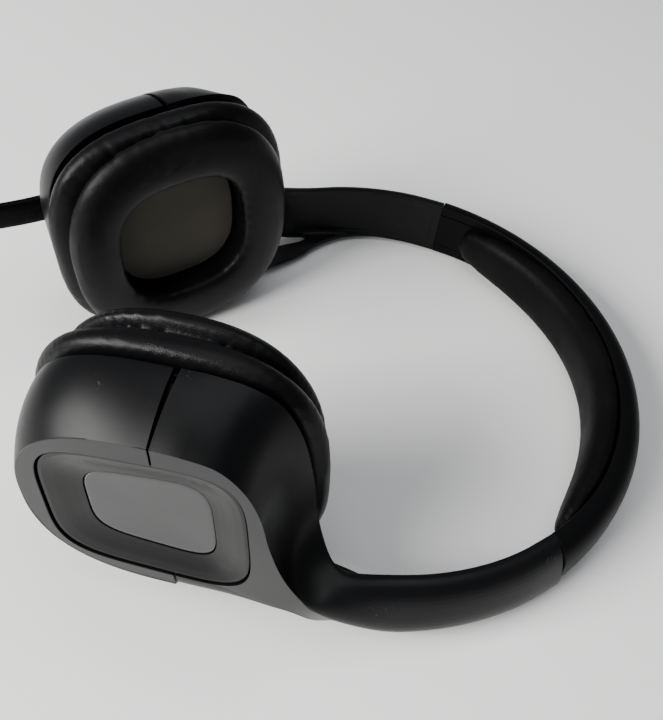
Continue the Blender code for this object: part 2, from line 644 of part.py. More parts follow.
def boom_line(d):
    """The boom's middle at distance d from its hub: straight, then gently bent forward and towards the mouth."""
    bend = min(d, 60.0) - 20.0
    forward = BOOM_FORWARD * max(bend, 0.0) ** 2 + 2 * BOOM_FORWARD * 40.0 * max(d - 60.0, 0.0)
    inward = BOOM_INWARD * max(d - 60.0, 0.0) ** 2
    return Vector((BOOM_P - d, (BOOM_Q0 + BOOM_Q1) / 2 - inward, BOOM_S + forward))


def boom_sweep(first, last, steps, width, thickness, count=16):
    """A flat, rounded bar along the boom's line; width and thickness are functions of the share along it."""
    loops = []
    for k in range(steps + 1):
        share = k / steps
        d = first + (last - first) * share
        along = (boom_line(d + 0.5) - boom_line(d - 0.5)).normalized()
        across = along.cross(Vector((0, 1, 0))).normalized()
        up = across.cross(along).normalized()
        shape = (width(share) / 2, thickness(share) / 2, 3.0, 0.0, 0.0, 0.0)
        loop = []
        for j in range(count):
            a, b = outline_point(shape, 0.02 + 2 * math.pi * j / count)
            loop.append(cup_point(LEFT, *(boom_line(d) + across * a + up * b)))
        loops.append(loop)
    return loft(loops)


def build_boom(cup_body, boom_body):
    cap = cup_stack(LEFT, [(INSET, 0.0, 11.3), (INSET, 0.0, 12.4), (INSET, -0.5, INSET_Q)], 36)
    piece("left_centre_cap", *cap, "gloss", cup_body)
    piece("main_board", *cup_block(LEFT, (-1.5, 7.4, 0.0), (16.0, 0.6, 17.0)), "board", cup_body)
    centre = (BOOM_P, BOOM_S)
    piece("boom_pivot_post", *round_stack(LEFT, [(5.0, 13.1), (5.0, 21.4), (4.4, 21.9)], *centre), "steel", cup_body)
    piece("boom_washer", *round_stack(LEFT, [(9.0, 13.1), (9.0, 13.6), (5.3, 13.6), (5.3, 13.1)], *centre, ring=True),
          "film", cup_body)
    hub = [(BOOM_HUB_RADIUS, 13.9), (BOOM_HUB_RADIUS, 21.2), (BOOM_HUB_RADIUS - 0.8, 21.9), (5.3, 21.9), (5.3, 13.9)]
    piece("boom_hub", *round_stack(LEFT, hub, *centre, 32, ring=True), "shell", boom_body)
    tip = BOOM_LENGTH - 22.0
    blade = boom_sweep(BOOM_HUB_RADIUS + GAP, tip, 16, lambda t: 11.0 - 2.0 * t, lambda t: 3.4)
    piece("boom_arm", *blade, "shell", boom_body)
    end = boom_sweep(tip + GAP, BOOM_LENGTH, 8, lambda t: 10.4 * (1 - 0.75 * t ** 4) ** 0.5,
                     lambda t: 5.0 * (1 - 0.8 * t ** 4) ** 0.5)
    shell = piece("mic_shell", *end, "inner", boom_body)
    spot = boom_line(BOOM_LENGTH - 9.0)
    pocket = round_stack(LEFT, [(2.4, spot.y - 4.0), (2.4, spot.y + 0.4)], spot.x, spot.z, 16)
    cut(shell, piece("mic_pocket", *pocket, "inner", boom_body))
    capsule = round_stack(LEFT, [(2.0, spot.y - 1.4), (2.0, spot.y + 0.1)], spot.x, spot.z, 16)
    piece("mic_capsule", *capsule, "steel", boom_body)


# ---------------------------------------------------------------- the whole headset
def cup_bodies(side, arm_body):
    """The empties of an ear cup and of what moves on it, each on its joint's axis."""
    cup_body = empty(f"{SIDE_NAME[side]}_cup", cup_point(side, TILT_P, TILT_Q, 0.0), arm_body)
    if side == RIGHT:
        return cup_body, {"button": empty("right_button", cup_point(side, INSET[3], INSET_Q, 0.0), cup_body)}
    moving = {}
    for name, share in (("volume_rocker", ROCKER_SHARE), ("mute_button", MUTE_SHARE), ("power_switch", POWER_SHARE)):
        middle, _, _, out = wall_frame(share)
        moving[name] = empty(f"{name}_body", cup_point(side, *(middle - out)), cup_body)
    moving["boom"] = empty("boom", cup_point(side, BOOM_P, BOOM_Q0, BOOM_S), cup_body)
    return cup_body, moving


def rest_on_floor(root):
    """Moves the top empty so that the pieces stand on z = 0, centred on the origin."""
    bpy.context.view_layer.update()
    corners = [obj.matrix_world @ vertex.co for obj in pieces for vertex in obj.data.vertices]
    low = [min(corner[k] for corner in corners) for k in range(3)]
    high = [max(corner[k] for corner in corners) for k in range(3)]
    root.location = (-(low[0] + high[0]) / 2, -(low[1] + high[1]) / 2, -low[2])
    bpy.context.view_layer.update()


def build_scene():
    clear_scene()
    root = empty("headset", (0, 0, 0))
    root.rotation_euler = (0, TIP_ANGLE, 0)
    build_band(root)
    for side in (RIGHT, LEFT):
        arm_body = empty(f"{SIDE_NAME[side]}_arm", (BAND_CENTRE, 0, 0), root)
        cup_body, moving = cup_bodies(side, arm_body)
        bores = tilt_bores(side, cup_body)
        build_arm(side, arm_body, bores)
        front_shell = build_front_shell(side, cup_body)
        build_housing(side, cup_body, bores)
        build_driver(side, cup_body)
        build_cushion(side, cup_body)
        build_plate(side, cup_body)
        if side == RIGHT:
            build_right_extras(cup_body, moving["button"])
        else:
            build_controls(front_shell, moving, cup_body)
            build_boom(cup_body, moving["boom"])
    rest_on_floor(root)


build_scene()
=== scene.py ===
"""The looks of an office headset lying on its side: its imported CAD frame, with each visible piece made again finely.

Shapes are laid out in millimetres in the headset's own frame: +X towards the crown, +Y towards the left ear cup,
+Z square to the band's mid-plane. to_world() turns them into metres in the row's frame.
"""
import json
import math

import bmesh
import bpy
import numpy as np
from mathutils import Matrix, Vector, noise


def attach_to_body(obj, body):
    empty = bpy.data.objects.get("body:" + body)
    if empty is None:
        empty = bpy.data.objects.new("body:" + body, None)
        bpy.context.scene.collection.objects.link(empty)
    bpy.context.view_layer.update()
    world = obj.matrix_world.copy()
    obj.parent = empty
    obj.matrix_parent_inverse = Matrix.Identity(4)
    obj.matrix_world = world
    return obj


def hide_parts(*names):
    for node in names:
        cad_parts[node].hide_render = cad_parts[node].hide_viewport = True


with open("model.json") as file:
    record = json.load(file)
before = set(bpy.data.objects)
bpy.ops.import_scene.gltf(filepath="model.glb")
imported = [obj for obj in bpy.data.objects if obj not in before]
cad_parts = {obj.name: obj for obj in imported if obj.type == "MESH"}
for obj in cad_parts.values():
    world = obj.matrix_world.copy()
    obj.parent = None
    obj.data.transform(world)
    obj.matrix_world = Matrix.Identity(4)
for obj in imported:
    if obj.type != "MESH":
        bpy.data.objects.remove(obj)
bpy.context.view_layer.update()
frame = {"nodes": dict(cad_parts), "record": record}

MM = 0.001
RIGHT, LEFT = -1, 1
SIDE_NAME = {RIGHT: "right", LEFT: "left"}
TIP_ANGLE = math.radians(1.5)
GAP = 0.3

# headband: a D-shaped section swept round a circle, its flat face towards the head
BAND_CENTRE = 54.0
BAND_RADIUS = 84.4
BAND_DEPTH = 8.6
BAND_HALF_WIDTH = 10.6
ARM_HALF_WIDTH = 11.2
D_ROUNDNESS = 2.6
SLEEVE_END = 62.0
SLEEVE_STEP = 0.3
CHANNEL_HALF_WIDTH = 7.6
CHANNEL_DEPTH = 5.6
COVER_THICKNESS = 1.1
PAD_HALF_ANGLE = 55.0
PAD_DEPTH, PAD_END_DEPTH, PAD_END_HALF = 9.5, 1.2, 4.0

# where an ear cup sits: its centre, its toe-in seen from above and its turn in its own plane
CUP_X, CUP_OUT, CUP_Z = -16.0, 57.8, 29.0
TOE_IN = 0.39
CUP_TURN = 0.098

# outlines in the cup's own plane: half length, half width, roundness, shift along the length, shift across, taper
RIM = (40.9, 40.8, 3.0, 0.6, 0.0, 0.01)
RING = (37.3, 31.9, 2.5, 0.0, 0.6, 0.01)
PLATE = (28.1, 25.3, 4.1, -2.5, 0.0, 0.06)
INSET = (17.7, 15.9, 4.2, -2.1, 0.0, 0.12)
REAR_LOBE = (42.2, 42.7, 2.8, -1.0, 0.0, 0.01)
GROOVE = (38.9, 41.3, 2.35, -1.0, 0.0, 0.01)
FRONT_LOBE = (39.2, 42.9, 2.45, -1.0, 0.0, 0.01)
EAR_OPENING = (21.7, 23.2, 2.8, -1.7, 0.0, 0.01)

# heights outwards from the cup's middle plane
RING_Q, RIM_Q, GROOVE_Q = 16.0, -3.5, -15.3
WALL = 2.2
PLATE_GAP = 0.45
SEAM_P_FACE, SEAM_P_RIM = 2.8, 4.0
SEAM_HALF_FACE, SEAM_HALF_RIM = 0.3, 0.9

BOOM_P, BOOM_S = -2.0, -4.0
BOOM_HUB_RADIUS = 11.0
BOOM_Q0, BOOM_Q1 = 18.0, 21.6
BOOM_LENGTH, MIC_LENGTH = 118.0, 22.0
BOOM_BEND, BEND_START, BEND_END = 0.0035, 20.0, 60.0
ARM_START, ARM_COVER_END = SLEEVE_END + 0.06, 96.0
# the window through the floor between yoke and arm: corners as (x, distance out)
WINDOW = ((19.0, 72.6), (19.4, 70.4), (21.2, 69.6), (38.2, 77.8), (40.4, 79.6), (40.8, 81.2), (39.4, 82.5),
          (37.0, 82.2), (27.2, 79.1), (21.0, 76.0))
CONTROL_HEIGHT = 0.36
CONTROL_BASE, CONTROL_TOP = -2.6, 0.6
D_BULGE = 5.9

# how finely things are sampled: an arm section's wall, face and foot, and the columns of each closed section
SECTION_STEPS = (18, 6, 8)
ARM_SPANS = (104, 34, 40, 92)
SHELL_SPANS = (74, 26, 12, 66)
PLATE_SPANS = (3, 6, 5, 4, 16, 18, 16, 8, 8, 14)
# painted shade: millimetres along the facet's lower edge on the arm that keep the shell's matt black, a dark band under
# the facet
PAINTED_SHADE_BAND = 1.5
# outlines start a little off their corners, so that no point falls on an axis
CUP_START, SMALL_START = 0.0131, 0.02
SMOOTH_ANGLE = 40.0


def root_place():
    """Where the headset frame's origin lies: the right arm's joint is at (BAND_CENTRE, 0, 0) in it."""
    joints = {joint["name"]: joint["pos_m"] for joint in frame["record"]["behaviour"]["joints"] if "pos_m" in joint}
    x, y, z = joints["right_arm_extension"]
    return (x - BAND_CENTRE * MM * math.cos(TIP_ANGLE), y, z + BAND_CENTRE * MM * math.sin(TIP_ANGLE))


ROOT_AT = root_place()


def clamp(value):
    return min(max(value, 0.0), 1.0)


def smooth_row(rows, t):
    """A Catmull-Rom curve through rows of numbers, at t from 0 to 1."""
    last = len(rows) - 1
    k = min(int(t * last), last - 1)
    f = t * last - k
    p0, p1, p2, p3 = (rows[min(max(k + d, 0), last)] for d in (-1, 0, 1, 2))
    return tuple(0.5 * (2 * b + (c - a) * f + (2 * a - 5 * b + 4 * c - d) * f * f + (3 * b - a - 3 * c + d) * f ** 3)
                 for a, b, c, d in zip(p0, p1, p2, p3))


def band_point(side, angle, out, z):
    """A point beside the band's circle: angle in degrees from the crown, out from the inner face, z across."""
    a = math.radians(angle)
    r = BAND_RADIUS + out
    return (BAND_CENTRE + r * math.cos(a), side * r * math.sin(a), z)


def cup_point(side, p, q, s):
    """A point of an ear cup: p towards the crown, q outwards from the head, s across (up, as it lies)."""
    along = p * math.cos(CUP_TURN) - s * math.sin(CUP_TURN)
    up = p * math.sin(CUP_TURN) + s * math.cos(CUP_TURN)
    x = CUP_X + along * math.cos(TOE_IN) - q * math.sin(TOE_IN)
    out = CUP_OUT + along * math.sin(TOE_IN) + q * math.cos(TOE_IN)
    return (x, side * out, CUP_Z + up)


def outline_point(shape, angle, grow=0.0):
    """A point on a rounded, slightly tapered outline; grow moves it outwards."""
    a, b, n, p0, s0, taper = shape
    c, s = math.cos(angle), math.sin(angle)
    p = (a + grow) * math.copysign(abs(c) ** (2 / n), c)
    across = (b + grow) * math.copysign(abs(s) ** (2 / n), s)
    return p + p0, across * (1 + taper * p / a) + s0


def outline_loop(shape, count, grow=0.0, start=CUP_START):
    """Points all the way round an outline, evenly by angle."""
    return [outline_point(shape, start + 2 * math.pi * k / count, grow) for k in range(count)]


def outline_angle(shape, p, grow=0.0):
    """The angle at which an outline's upper half has this p."""
    a, _, n, p0, _, _ = shape
    ratio = (p - p0) / (a + grow)
    return math.acos(math.copysign(abs(ratio) ** (n / 2), ratio))


def on_outline(shape, p, below=False):
    """The point of an outline's upper half, or of its lower half, that has this p."""
    angle = outline_angle(shape, p)
    return outline_point(shape, -angle if below else angle)


def d_depth(z, half_width, depth):
    """How far the D-shaped outer face stands out at z."""
    return depth * max(0.0, 1 - abs(z / half_width) ** D_ROUNDNESS) ** (1 / D_ROUNDNESS)


def d_outer(half_width, depth, count):
    """(out, z) pairs over the outer face, from the upper edge to the lower one."""
    places = [half_width * math.cos(math.pi * k / count) for k in range(count + 1)]
    return [(d_depth(z, half_width, depth), z) for z in places]


def band_width(angle):
    """The band widens a little from the crown to the sleeves."""
    return BAND_HALF_WIDTH + (ARM_HALF_WIDTH + SLEEVE_STEP - BAND_HALF_WIDTH) * (abs(angle) / SLEEVE_END) ** 2


def yoke_stations():
    """The rails that the arm is stretched over, from the seam beside the cup to the sleeve of the band.

    Each station is (top rim, upper crease, lower crease, foot, bulge, solid). The top rim leaves the cup's rim near
    its crown end and drops to the arm's upper edge. The two creases bound the flat face round the plate, which
    narrows and fades out into the arm's lower edge. The foot runs from the rim's table side straight to the band.
    bulge is how far the wall between top rim and crease stands out, and solid goes from 0, a shell, to 1, full.
    """
    def face(p, s):
        return cup_point(1, p, RING_Q, s)

    def rim(p, s, q=RIM_Q):
        return cup_point(1, p, q, s)

    def arm(angle, out, z):
        return band_point(1, angle, out, z)

    seam_rim, seam_face = SEAM_P_RIM + SEAM_HALF_RIM, SEAM_P_FACE + SEAM_HALF_FACE
    stations = [
        (rim(*on_outline(RIM, seam_rim)), face(*on_outline(RING, seam_face)),
         face(*on_outline(RING, seam_face, below=True)), rim(*on_outline(RIM, seam_rim, below=True)), 1.6, 0.0),
        (rim(*on_outline(RIM, 13.5)), face(*on_outline(RING, 11.5)), face(8.5, -31.3), (-2.5, 59.8, -10.8), 1.2, 0.0),
        (rim(*on_outline(RIM, 23.0)), face(*on_outline(RING, 20.0)), face(13.0, -31.3), (2.0, 60.2, -11.2), 0.4, 0.0),
        (rim(30.4, 33.9), face(26.2, 22.6), face(16.5, -31.3), (6.5, 60.7, -11.6), -0.8, 0.0),
        (rim(35.4, 23.0), face(29.6, 12.6), face(19.5, -31.4), (10.5, 61.3, -11.9), -1.9, 0.0),
        (rim(38.1, 7.0), face(31.2, 1.0), face(22.8, -31.5), (15.0, 62.1, -12.1), -2.6, 0.0),
        (rim(39.3, -7.5, -2.9), face(33.4, -9.5), face(26.6, -31.8), (20.0, 63.5, -12.1), -3.0, 0.0),
        (rim(41.4, -14.5, -0.4), face(36.2, -17.5), face(31.0, -32.2), (26.0, 65.7, -12.0), -3.0, 0.0),
        (rim(45.1, -20.2, 3.4), face(40.6, -25.0), (14.8, 87.5, 0.0), (33.0, 69.0, -12.0), -2.0, 0.3),
        ((30.2, 81.9, 11.4), (22.6, 90.4, 2.5), (22.0, 88.3, -5.2), (39.5, 72.7, -11.9), 0.6, 0.75),
    ]
    for crease, low_crease, foot, foot_out in ((98.5, 104.5, 97.1, -7.0), (91.0, 95.0, 88.5, -1.8),
                                               (84.0, 86.5, 80.5, 0.0), (77.0, 78.0, 75.0, 0.0),
                                               (70.0, 70.2, 69.5, 0.0), (ARM_START, ARM_START, ARM_START, 0.0)):
        stations.append((arm(crease, 0.0, ARM_HALF_WIDTH), arm(crease, 5.8, -9.0), arm(low_crease, 3.4, -10.7),
                         arm(foot, foot_out, -ARM_HALF_WIDTH), 4.2, 1.0))
    return stations


def wall_profile(t, solid):
    """How the wall's bulge is spread between its two edges: an even arch on the yoke, a full D on the arm."""
    arch = 4 * t * (1 - t)
    return arch + (d_depth(2 * t - 1, 1, 1) - arch) * solid


def arm_row(t, stations):
    """One open section of the arm's outer side at t, from 0 at the seam to 1 at the sleeve, with its rails."""
    def rail(k, at):
        return Vector(smooth_row([station[k] for station in stations], clamp(at)))

    top, crease, low_crease, foot = (rail(k, t) for k in range(4))
    bulge, solid = smooth_row([station[4:] for station in stations], t)
    solid = clamp(solid)
    step = 0.004
    travel = sum(((rail(k, t + step) - rail(k, t - step)).normalized() for k in (0, 1)), Vector())
    normal = travel.cross(crease - top).normalized()
    depth = bulge * (1 - solid) + D_BULGE * solid
    n_wall, n_face, n_foot = SECTION_STEPS
    row = []
    for k in range(n_wall):
        even = k / n_wall
        f = even + (0.5 - 0.5 * math.cos(math.pi * even) - even) * solid
        row.append(top.lerp(crease, f) + normal * depth * wall_profile(f, solid))
    row += [crease.lerp(low_crease, k / n_face) for k in range(n_face)]
    row += [low_crease.lerp(foot, k / n_foot) for k in range(n_foot + 1)]
    return row, (top, low_crease, foot), solid


def grid_normals(rows):
    """Unit normals of a grid of points, from the differences between neighbours."""
    normals = []
    for i, row in enumerate(rows):
        before, after = rows[max(i - 1, 0)], rows[min(i + 1, len(rows) - 1)]
        line = []
        for k in range(len(row)):
            across = row[min(k + 1, len(row) - 1)] - row[max(k - 1, 0)]
            line.append((after[k] - before[k]).cross(across).normalized())
        normals.append(line)
    return normals


def along_path(path, share):
    """A point at a share of a path's length."""
    lengths = [(b - a).length for a, b in zip(path, path[1:])]
    left = share * sum(lengths)
    for a, b, length in zip(path, path[1:], lengths):
        if left <= length:
            return a.lerp(b, left / max(length, 1e-6))
        left -= length
    return path[-1]


def arm_inside(row, normals, rails, solid):
    """The section's inner side, from foot to top: a wall's thickness in, or flat where the arm is solid."""
    top, low_crease, foot = rails
    reach = [math.hypot(end.x - BAND_CENTRE, end.y) for end in (low_crease, foot)]
    share = (reach[0] - BAND_RADIUS) / max(reach[0] - reach[1], 0.1)
    corner = low_crease.lerp(foot, clamp(share)) + Vector((0, 0, WALL))
    flange = min(1.0, (corner - foot).length / 8.0)
    path = [foot + Vector((0, 0, 0.9 + 1.1 * flange)), corner, top + Vector((0, 0, -1.2))]
    last = len(row) - 1
    inside = [(point - normal * WALL).lerp(along_path(path, 1 - k / last), solid)
              for k, (point, normal) in enumerate(zip(row, normals))]
    return inside[::-1]


def shell_edge(shape, grow, seam_p, share):
    """A point of an outline, share of the way round from the upper seam to the lower one."""
    start = outline_angle(shape, seam_p, grow)
    return Vector(outline_point(shape, start + (2 * math.pi - 2 * start) * share, grow))


def shell_wall(share, f, inset=0.0, q_face=RING_Q, bulge=1.6):
    """A point (p, q, s) of the front shell's wall, f of the way from its rim to its face."""
    swell = bulge * 4 * f * (1 - f) - inset
    rim = shell_edge(RIM, swell, SEAM_P_RIM - SEAM_HALF_RIM, share)
    face = shell_edge(RING, swell, SEAM_P_FACE - SEAM_HALF_FACE, share)
    place = rim.lerp(face, f)
    return Vector((place.x, RIM_Q + (q_face - RIM_Q) * f, place.y))


def wall_frame(share):
    """The middle of a control on the left cup's lower wall, with the wall's directions along, up and out."""
    def at(round_it=0.0, up_it=0.0):
        return shell_wall(share + round_it, CONTROL_HEIGHT + up_it)

    along = (at(-0.01) - at(0.01)).normalized()
    up = (at(0.0, 0.1) - at(0.0, -0.1)).normalized()
    return at(), along, up, along.cross(up).normalized()


def boom_line(d):
    """The boom's middle at distance d from its hub: straight, then gently bent forward and towards the mouth."""
    bend = max(min(d, BEND_END) - BEND_START, 0.0)
    past = max(d - BEND_END, 0.0)
    forward = BOOM_BEND * bend ** 2 + 2 * BOOM_BEND * (BEND_END - BEND_START) * past
    return Vector((BOOM_P - d, (BOOM_Q0 + BOOM_Q1) / 2 - BOOM_BEND * past ** 2, BOOM_S + forward))


# meshes
def to_world(points):
    """Millimetres in the headset's own frame to metres in the row's frame."""
    pts = np.array([tuple(point) for point in points], dtype=float) * MM
    c, s = math.cos(TIP_ANGLE), math.sin(TIP_ANGLE)
    turned = np.stack([pts[:, 0] * c + pts[:, 2] * s, pts[:, 1], -pts[:, 0] * s + pts[:, 2] * c], axis=1)
    return turned + np.array(ROOT_AT)


def skin(loops, ring=False):
    """Faces over closed loops of equal length, capped at both ends unless they form a ring."""
    count = len(loops[0])
    points = [point for loop in loops for point in loop]
    faces = []
    for row in range(len(loops) if ring else len(loops) - 1):
        below, above = row * count, ((row + 1) % len(loops)) * count
        for k in range(count):
            n = (k + 1) % count
            faces.append((below + k, below + n, above + n, above + k))
    if not ring:
        faces.append(tuple(reversed(range(count))))
        faces.append(tuple(range(len(points) - count, len(points))))
    return points, faces


def new_object(name, points, faces, finish, smooth=SMOOTH_ANGLE):
    """A mesh object at the origin, its points in headset millimetres, facing out."""
    mesh = bpy.data.meshes.new(name)
    mesh.from_pydata([tuple(point) for point in to_world(points)], [], faces)
    tidy = bmesh.new()
    tidy.from_mesh(mesh)
    bmesh.ops.recalc_face_normals(tidy, faces=tidy.faces)
    if tidy.calc_volume(signed=True) < 0:
        bmesh.ops.reverse_faces(tidy, faces=tidy.faces)
    tidy.to_mesh(mesh)
    tidy.free()
    mesh.shade_smooth()
    mesh.set_sharp_from_angle(angle=math.radians(smooth))
    made = bpy.data.objects.new(name, mesh)
    bpy.context.scene.collection.objects.link(made)
    if finish:
        mesh.materials.append(MATERIALS[finish])
    return made


def finish_facet(obj, around, spans):
    """Gives the flat ring round the plate its own finish, which carries painted shade: each loop's columns from first
    to last.
    """
    obj.data.materials.append(MATERIALS["facet"])
    for polygon in obj.data.polygons:
        if len(polygon.vertices) == 4:
            low = min(polygon.vertices)
            first, last = spans[low // around]
            if first <= min(v % around for v in polygon.vertices) < last:
                polygon.material_index = 1


def modify(obj, name, kind, **settings):
    step = obj.modifiers.new(name, kind)
    for key, value in settings.items():
        setattr(step, key, value)
    return step


def settle_modifiers(obj):
    """Puts the modifiers' result into the mesh."""
    view = bpy.context.evaluated_depsgraph_get()
    view.update()
    mesh = bpy.data.meshes.new_from_object(obj.evaluated_get(view))
    obj.modifiers.clear()
    old = obj.data
    obj.data = mesh
    bpy.data.meshes.remove(old)


def carve(obj, cutters):
    """Cuts the cutters' forms out of obj."""
    tools = [new_object("cutter", *cutter, None) for cutter in cutters]
    for tool in tools:
        modify(obj, "carve", "BOOLEAN", operation="DIFFERENCE", solver="EXACT", object=tool)
    settle_modifiers(obj)
    for tool in tools:
        bpy.data.objects.remove(tool, do_unlink=True)
    obj.data.shade_smooth()
    obj.data.set_sharp_from_angle(angle=math.radians(SMOOTH_ANGLE))


def soften_edges(obj, width, angle):
    """A small round on every hard edge, as a mould leaves it."""
    modify(obj, "edge", "BEVEL", width=width * MM, segments=2, limit_method="ANGLE", angle_limit=math.radians(angle),
           harden_normals=True, use_clamp_overlap=True)


def attach(obj, body, slot, node, edge=None):
    """Rides on a body and stands for a CAD node, with its edges softened where edge says how. slot is not used."""
    if edge:
        soften_edges(obj, *edge)
    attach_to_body(obj, body)
    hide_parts(node)


def bell(sigma):
    """Weights of a bell curve for -reach to reach, which add up to 1."""
    reach = max(1, int(3 * sigma))
    weights = np.exp(-0.5 * (np.arange(-reach, reach + 1) / max(sigma, 1e-3)) ** 2)
    return reach, weights / weights.sum()


def blur_loop(row, sigma):
    """A closed row of points, each averaged with its neighbours."""
    reach, weights = bell(sigma)
    return sum(w * np.roll(row, -d, axis=0) for d, w in zip(range(-reach, reach + 1), weights))


def ease_corner(row, index, sigma, reach=5.0):
    """Rounds one corner of a closed row more than the others."""
    away = np.abs((np.arange(len(row)) - index + len(row) // 2) % len(row) - len(row) // 2)
    return row + (blur_loop(row, sigma) - row) * np.exp(-(away / reach) ** 2)[:, None]


def round_section(loop, count, radius):
    """A closed section resampled evenly, with its corners rounded to about the radius."""
    return round_spans([(list(loop) + [loop[0]], count)], radius)


def round_spans(spans, radius):
    """The same for spans of (points, count), so that every corner keeps its index."""
    parts, total = [], 0.0
    for points, count in spans:
        pts = np.array([tuple(point) for point in points], dtype=float)
        length = np.concatenate([[0.0], np.cumsum(np.linalg.norm(np.diff(pts, axis=0), axis=1))])
        even = np.linspace(0.0, length[-1], count, endpoint=False)
        parts.append(np.stack([np.interp(even, length, pts[:, k]) for k in range(3)], axis=1))
        total += length[-1]
    row = np.vstack(parts)
    return blur_loop(row, radius * 0.62 / (total / len(row)))


def lathe(rows, p, s, count=72, ring=False):
    """A turned form on an axis square to the left cup's face: rows of (radius, q)."""
    turns = [2 * math.pi * k / count for k in range(count)]
    return skin([[cup_point(LEFT, p + radius * math.cos(turn), q, s + radius * math.sin(turn)) for turn in turns]
                 for radius, q in rows], ring)


# band
def sleeve_to_sleeve(steps):
    return [-SLEEVE_END + 2 * SLEEVE_END * k / steps for k in range(steps + 1)]


def swept(angles, section, count, radius):
    """A skin swept round the band; section(angle) gives its corners as (out, z)."""
    return skin([round_section([band_point(1, angle, out, z) for out, z in section(angle)], count, radius)
                 for angle in angles])


def band_section(angle):
    inner = [(0.0, -CHANNEL_HALF_WIDTH), (CHANNEL_DEPTH, -CHANNEL_HALF_WIDTH),
             (CHANNEL_DEPTH, CHANNEL_HALF_WIDTH), (0.0, CHANNEL_HALF_WIDTH)]
    return d_outer(band_width(angle), BAND_DEPTH + SLEEVE_STEP, 40) + inner


def cover_section(_):
    half = CHANNEL_HALF_WIDTH - GAP
    return [(0.1, half), (COVER_THICKNESS, half), (COVER_THICKNESS, -half), (0.1, -half)]


def head_pad_section(angle):
    """The pad's section: a soft D with a flat back, tapering at both ends of the strip."""
    ease = math.sqrt(max(0.0, 1 - (abs(angle) / PAD_HALF_ANGLE) ** 4))
    depth = PAD_END_DEPTH + (PAD_DEPTH - PAD_END_DEPTH) * ease
    half = PAD_END_HALF + (BAND_HALF_WIDTH + 0.6 - PAD_END_HALF) * ease
    row = [(-GAP, half * 0.94), (-GAP, -half * 0.94)]
    for k in range(33):
        turn = math.pi * (0.5 - k / 32)
        across = -half * math.copysign(abs(math.sin(turn)) ** 0.6, math.sin(turn))
        row.append((-GAP - 0.4 - (depth - 0.4) * 0.94 * abs(math.cos(turn)) ** 0.6, across))
    return row


def build_band():
    shell = new_object("band_shell", *swept(sleeve_to_sleeve(180), band_section, 150, 0.35), "matt")
    attach(shell, "headband", "shell", "band_outer_shell", (0.3, 50))
    cover = new_object("band_lining", *swept(sleeve_to_sleeve(120), cover_section, 64, 0.3), "matt")
    attach(cover, "headband", "inner", "band_inner_cover")


def build_head_pad():
    angles = [PAD_HALF_ANGLE * math.sin(math.pi / 2 * (2 * k / 140 - 1)) for k in range(141)]
    pad = new_object("head_cushion", *swept(angles, head_pad_section, 96, 0.5), "padding")
    inflate(pad, voxel=1.9, pressure=2.4, cap=0.9, pinned=lambda points: band_places(points)[:, 1] > -1.4)
    displace(pad, crease_pad)
    attach(pad, "headband", "leatherette", "head_pad")


def band_places(points):
    """(angle in degrees, out, z) of points in headset millimetres, beside the band's circle."""
    x, y, z = points[:, 0] - BAND_CENTRE, points[:, 1], points[:, 2]
    return np.stack([np.degrees(np.arctan2(y, x)), np.hypot(x, y) - BAND_RADIUS, z], axis=1)


def crease_pad(points):
    """The pad's relief: a sewn edge all round and small puckers beside it."""
    angle, out = band_places(points)[:, :2].T
    seam = np.exp(-((out + 2.2) / 0.5) ** 2)
    pucker = np.exp(-((out + 3.2) / 1.4) ** 2) * np.sin(angle * 2.9 + 1.7 * np.sin(angle * 0.37))
    return -0.32 * seam + 0.10 * pucker + 0.06 * ripple(points, 0.11)


# soft pieces
def from_world(points):
    """Metres in the row's frame to millimetres in the headset's own frame."""
    pts = np.array(points, dtype=float) - np.array(ROOT_AT)
    c, s = math.cos(TIP_ANGLE), math.sin(TIP_ANGLE)
    turned = np.stack([pts[:, 0] * c - pts[:, 2] * s, pts[:, 1], pts[:, 0] * s + pts[:, 2] * c], axis=1)
    return turned / MM


def cup_places(side, points):
    """(p, q, s) of points in headset millimetres."""
    x, out, up = points[:, 0] - CUP_X, side * points[:, 1] - CUP_OUT, points[:, 2] - CUP_Z
    along = x * math.cos(TOE_IN) + out * math.sin(TOE_IN)
    q = -x * math.sin(TOE_IN) + out * math.cos(TOE_IN)
    p = along * math.cos(CUP_TURN) + up * math.sin(CUP_TURN)
    s = -along * math.sin(CUP_TURN) + up * math.cos(CUP_TURN)
    return np.stack([p, q, s], axis=1)


def read_points(mesh):
    flat = np.empty(len(mesh.vertices) * 3)
    mesh.vertices.foreach_get("co", flat)
    return flat.reshape(-1, 3)


def write_points(mesh, points):
    mesh.vertices.foreach_set("co", np.ascontiguousarray(points).ravel())
    mesh.update()


def ripple(points, frequency, seed=0.0):
    """Smooth noise from -1 to 1 at points in millimetres."""
    return np.array([noise.noise(Vector(point) * frequency + Vector((seed, 3.1 * seed, 0.0))) for point in points])


def displace(obj, amount):
    """Moves each vertex along its normal by amount(points) millimetres."""
    points = read_points(obj.data)
    flat = np.empty(points.size)
    obj.data.vertex_normals.foreach_get("vector", flat)
    write_points(obj.data, points + flat.reshape(-1, 3) * (amount(from_world(points)) * MM)[:, None])


CLOTH = {"vertex_group_mass": "held", "use_pressure": True, "mass": 0.2, "quality": 6, "tension_stiffness": 12,
         "compression_stiffness": 12, "bending_stiffness": 0.6}


def simulate(obj, pressure, held, frames=20):
    """Blows obj up as a cloth skin with some vertices held."""
    obj.vertex_groups.new(name="held").add([int(k) for k in held], 1.0, "REPLACE")
    settings = modify(obj, "cloth", "CLOTH").settings
    for key, value in CLOTH.items():
        setattr(settings, key, value)
    settings.uniform_pressure_force = pressure
    settings.effector_weights.gravity = 0.0
    for frame_number in range(1, frames + 1):
        bpy.context.scene.frame_set(frame_number)
    settle_modifiers(obj)
    obj.vertex_groups.clear()
    bpy.context.scene.frame_set(1)


